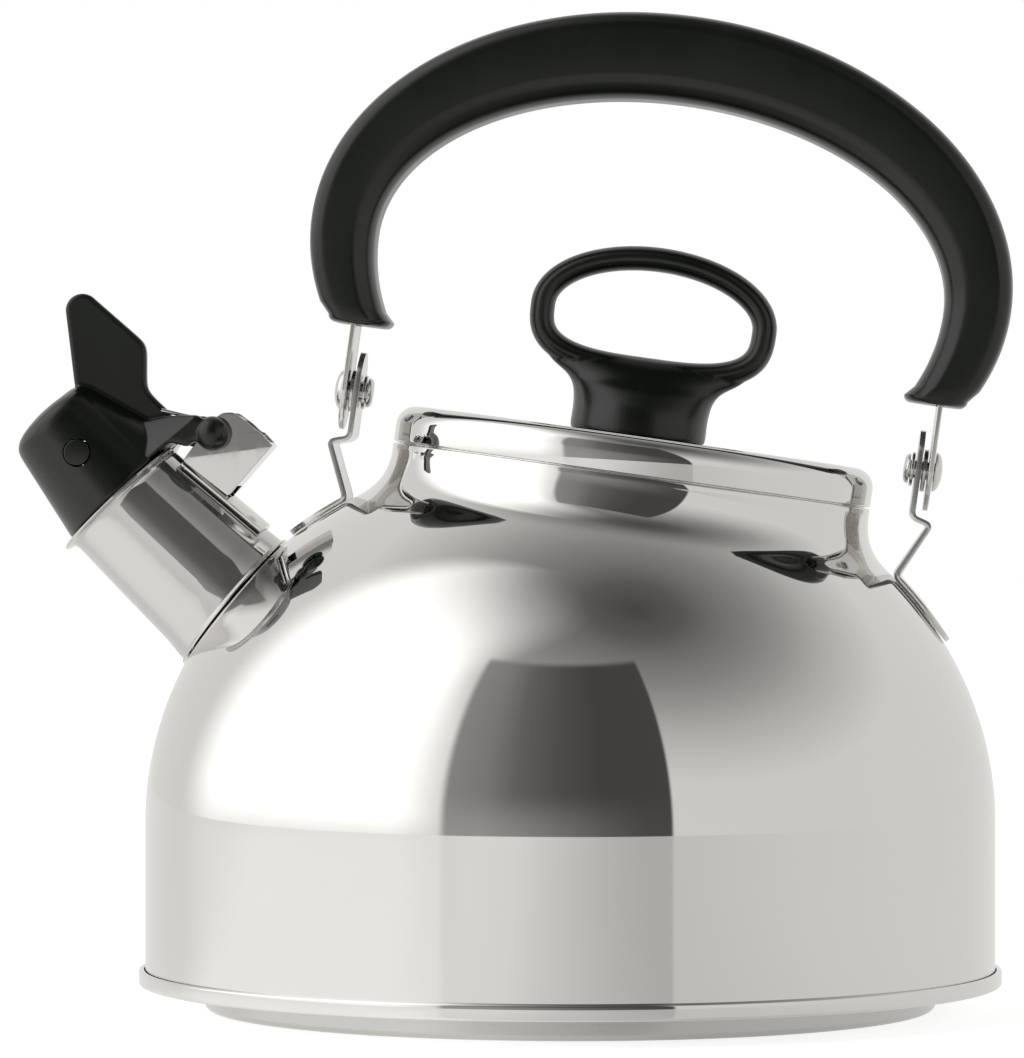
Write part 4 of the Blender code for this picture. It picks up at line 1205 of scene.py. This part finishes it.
def whistle_cap():
    """The moulded lever: a hollow cap on the mouth, the thumb fin and the two-armed yoke."""
    outside = smooth_profile(in_mm([(0, 27.4), (5, 26.9), (8.8, 26.0), (10.9, 24.5), (11.7, 22.6)]), 5)
    outline = [tuple(point) for point in outside] + in_mm([(15.6, 1.2), (15.6, 0.7), (15.4, 0.3), (0, 0.3)])
    cap = turned("moulded_whistle_cap", outline, MOUTH_FRAME, CAP_STEPS, closed=False)
    fin = plate("thumb_fin", fin_outline(), FIN_HALF_THICKNESS, LEVER_FRAME, 0.9 * MM)
    yoke = plate("yoke", yoke_outline(), YOKE_OUTER, LEVER_FRAME, 1.0 * MM)
    slot_low, slot_high = in_mm([(-9.2, -7, -9), (9, 7, 9)])
    slot = box("yoke_slot", slot_low, slot_high, LEVER_FRAME)
    moulded(yoke, [], LEVER_VOXEL, 1)
    combine(yoke, [slot, yoke_facet(-1), yoke_facet(1)], "DIFFERENCE")
    moulded(cap, [cap_deck(), fin, yoke, knuckle(-1), knuckle(1)], LEVER_VOXEL, 4)
    inside = in_mm([(0, 25.4), (6, 25.0), (9.0, 23.6), (9.9, 22.0), (14.0, 0), (14.0, -2), (0, -2)])
    cutters = [
        turned("cap_hollow", inside, MOUTH_FRAME, CAP_STEPS, closed=False),
        drill("steam_outlet", STEAM_OUTLET, 20 * MM, 30 * MM, MOUTH_FRAME),
        drill("pin_bore", PIN_BORE, -11.3 * MM, 11.3 * MM, LEVER_FRAME @ ALONG_Y),
    ]
    for side in (-1, 1):
        cutters.append(drill(
            f"cap_pin_hole_{side}", CAP_PIN_RADIUS + GAP, 6 * MM, 20 * MM, cap_pin_frame(side)
        ))
    combine(cap, cutters, "DIFFERENCE", 50)
    show(cap, "whistle_lever", "black_plastic", PLASTIC, "whistle_cap")


def whistle_pieces():
    """The steel whistle inside the cap, and the two plugs that hold it."""
    cup = in_mm([
        (11.2, 9.4), (11.8, 9.4), (13.2, 1.5), (13.3, -2.2), (12.8, -2.7), (2.2, -2.7), (2.2, -2.1),
        (12.4, -2.1), (12.7, -1.8), (12.6, 1.4),
    ])
    edge = 0.15 * MM
    for name, node, profile in (
        ("whistle_cup_drawn", "whistle_cup", rounded(cup, 0.25 * MM, 3)),
        ("whistle_spacer", "whistle_ring", ring_profile(12.1 * MM, 11.4 * MM, -1.8 * MM, 2.7 * MM, edge)),
        ("whistle_plate", "whistle_disc", ring_profile(11.8 * MM, 2.2 * MM, 3.0 * MM, 3.6 * MM, edge)),
    ):
        piece = turned(name, profile, MOUTH_FRAME, WHISTLE_STEPS)
        show(piece, "whistle_lever", "strip_steel", TURNED, node)
    for side, label in ((-1, "front"), (1, "back")):
        plug = disc_profile(CAP_PIN_RADIUS, 11.0 * MM, 13.1 * MM, 0.3 * MM)
        piece = turned(f"round_plug_{label}", plug, cap_pin_frame(side), closed=False)
        show(piece, "whistle_lever", "black_plastic", PLASTIC, f"cap_plug_{label}")


# -------- studio

def studio_world():
    """A grey room with a white softbox on the left and a narrow dark wall behind the camera."""
    world = bpy.data.worlds.new("studio")
    bpy.context.scene.world = world
    tree = node_tree(world)
    place = tree.nodes.new("ShaderNodeTexCoord").outputs["Generated"]
    azimuth = bearing(tree, place)
    height = math_node(tree, "DEGREES", math_node(tree, "ARCSINE", axes_of(tree, place)[2]))
    # The ceiling is darkest above the camera's right, and the room gets lighter all round from there.
    room = ramp_over(tree, degrees_from(tree, place, 52, 73), 0, 90, [
        (0, 0.27), (10, 0.34), (17, 0.43), (25, 0.50), (33, 0.58), (40, 0.66), (50, 0.74), (58, 0.79),
    ])
    # The softbox's right edge spreads out towards the zenith.
    edge_start = span(tree, height, 50, 80, -26, 30)
    edge_end = span(tree, height, 50, 80, -48, -95)
    sides = times(tree, span(tree, azimuth, -128, -106), span(tree, azimuth, edge_start, edge_end))
    ends = times(tree, span(tree, height, 90, 55), span(tree, height, -9, 8))
    lit = mix_colour(tree, times(tree, sides, ends), room, seen(1.06, 0.2))
    wall_tone = ramp_over(tree, azimuth, -32, 30, [
        (-32, 0.52), (-21, 0.47), (-12, 0.37), (0, 0.295), (11, 0.25), (22, 0.25), (30, 0.255),
    ])
    foot_tone = ramp_over(tree, azimuth, -32, 30, [
        (-32, 0.57), (-21, 0.56), (-12, 0.51), (0, 0.43), (11, 0.35), (22, 0.28), (30, 0.27),
    ])
    dark = mix_colour(tree, span(tree, height, 15, 0), wall_tone, foot_tone)
    sides = times(tree, span(tree, azimuth, -33, -30), span(tree, azimuth, 30.2, 29))
    painted = mix_colour(tree, times(tree, sides, span(tree, height, 58, 55.5)), lit, dark)
    background = tree.nodes.new("ShaderNodeBackground")
    tree.links.new(painted, background.inputs["Color"])
    white = tree.nodes.new("ShaderNodeBackground")
    white.inputs["Color"].default_value = (1, 1, 1, 1)
    choose_by_ray(tree, background.outputs[0], white.outputs[0], tree.nodes.new("ShaderNodeOutputWorld"))


def studio_floor():
    shape = bmesh.new()
    bmesh.ops.create_circle(shape, cap_ends=True, radius=FLOOR_RADIUS, segments=160)
    bmesh.ops.translate(shape, vec=(0, 0, -0.0002), verts=shape.verts)
    floor = new_object("studio_table", finished_mesh("studio_table", shape))
    floor.data.materials.append(floor_paint())


def studio_camera():
    camera = bpy.data.objects.new("camera", bpy.data.cameras.new("camera"))
    bpy.context.scene.collection.objects.link(camera)
    camera.location = (
        CAMERA_DISTANCE * math.sin(CAMERA_AZIMUTH),
        -CAMERA_DISTANCE * math.cos(CAMERA_AZIMUTH),
        CAMERA_HEIGHT,
    )
    camera.rotation_mode = "QUATERNION"
    camera.rotation_quaternion = (CAMERA_TARGET - camera.location).to_track_quat("-Z", "Y")
    camera.data.lens = CAMERA_LENS
    camera.data.sensor_width = 36
    camera.data.clip_start = 0.05
    camera.data.clip_end = 20
    bpy.context.scene.camera = camera
    bpy.context.scene.view_settings.view_transform = "Standard"


# -------- build

def dress_hidden_nodes():
    """The CAD nodes whose own shape is right keep it and get a detailed material."""
    finishes = {
        "heat_spreader_disc": ALUMINIUM,
        "knob_insert": BRASS,
        "knob_screw": TURNED,
        "knob_washer": TURNED,
        "hinge_pin": TURNED,
    }
    for name, material in finishes.items():
        node = frame["nodes"][name]
        node.data.materials.clear()
        node.data.materials.append(material)


studio_camera()
studio_world()
studio_floor()
body_shell()
base_pieces()
lid_pieces()
knob()
handle_grip()
for pivot_side, pivot_label in ((-1, "left"), (1, "right")):
    handle_tang(pivot_side, pivot_label)
    handle_bracket(pivot_side, pivot_label)
    pivot_pieces(pivot_side, pivot_label)
spout_tube()
spout_hinge_bracket()
lever_springs()
whistle_cap()
whistle_pieces()
dress_hidden_nodes()
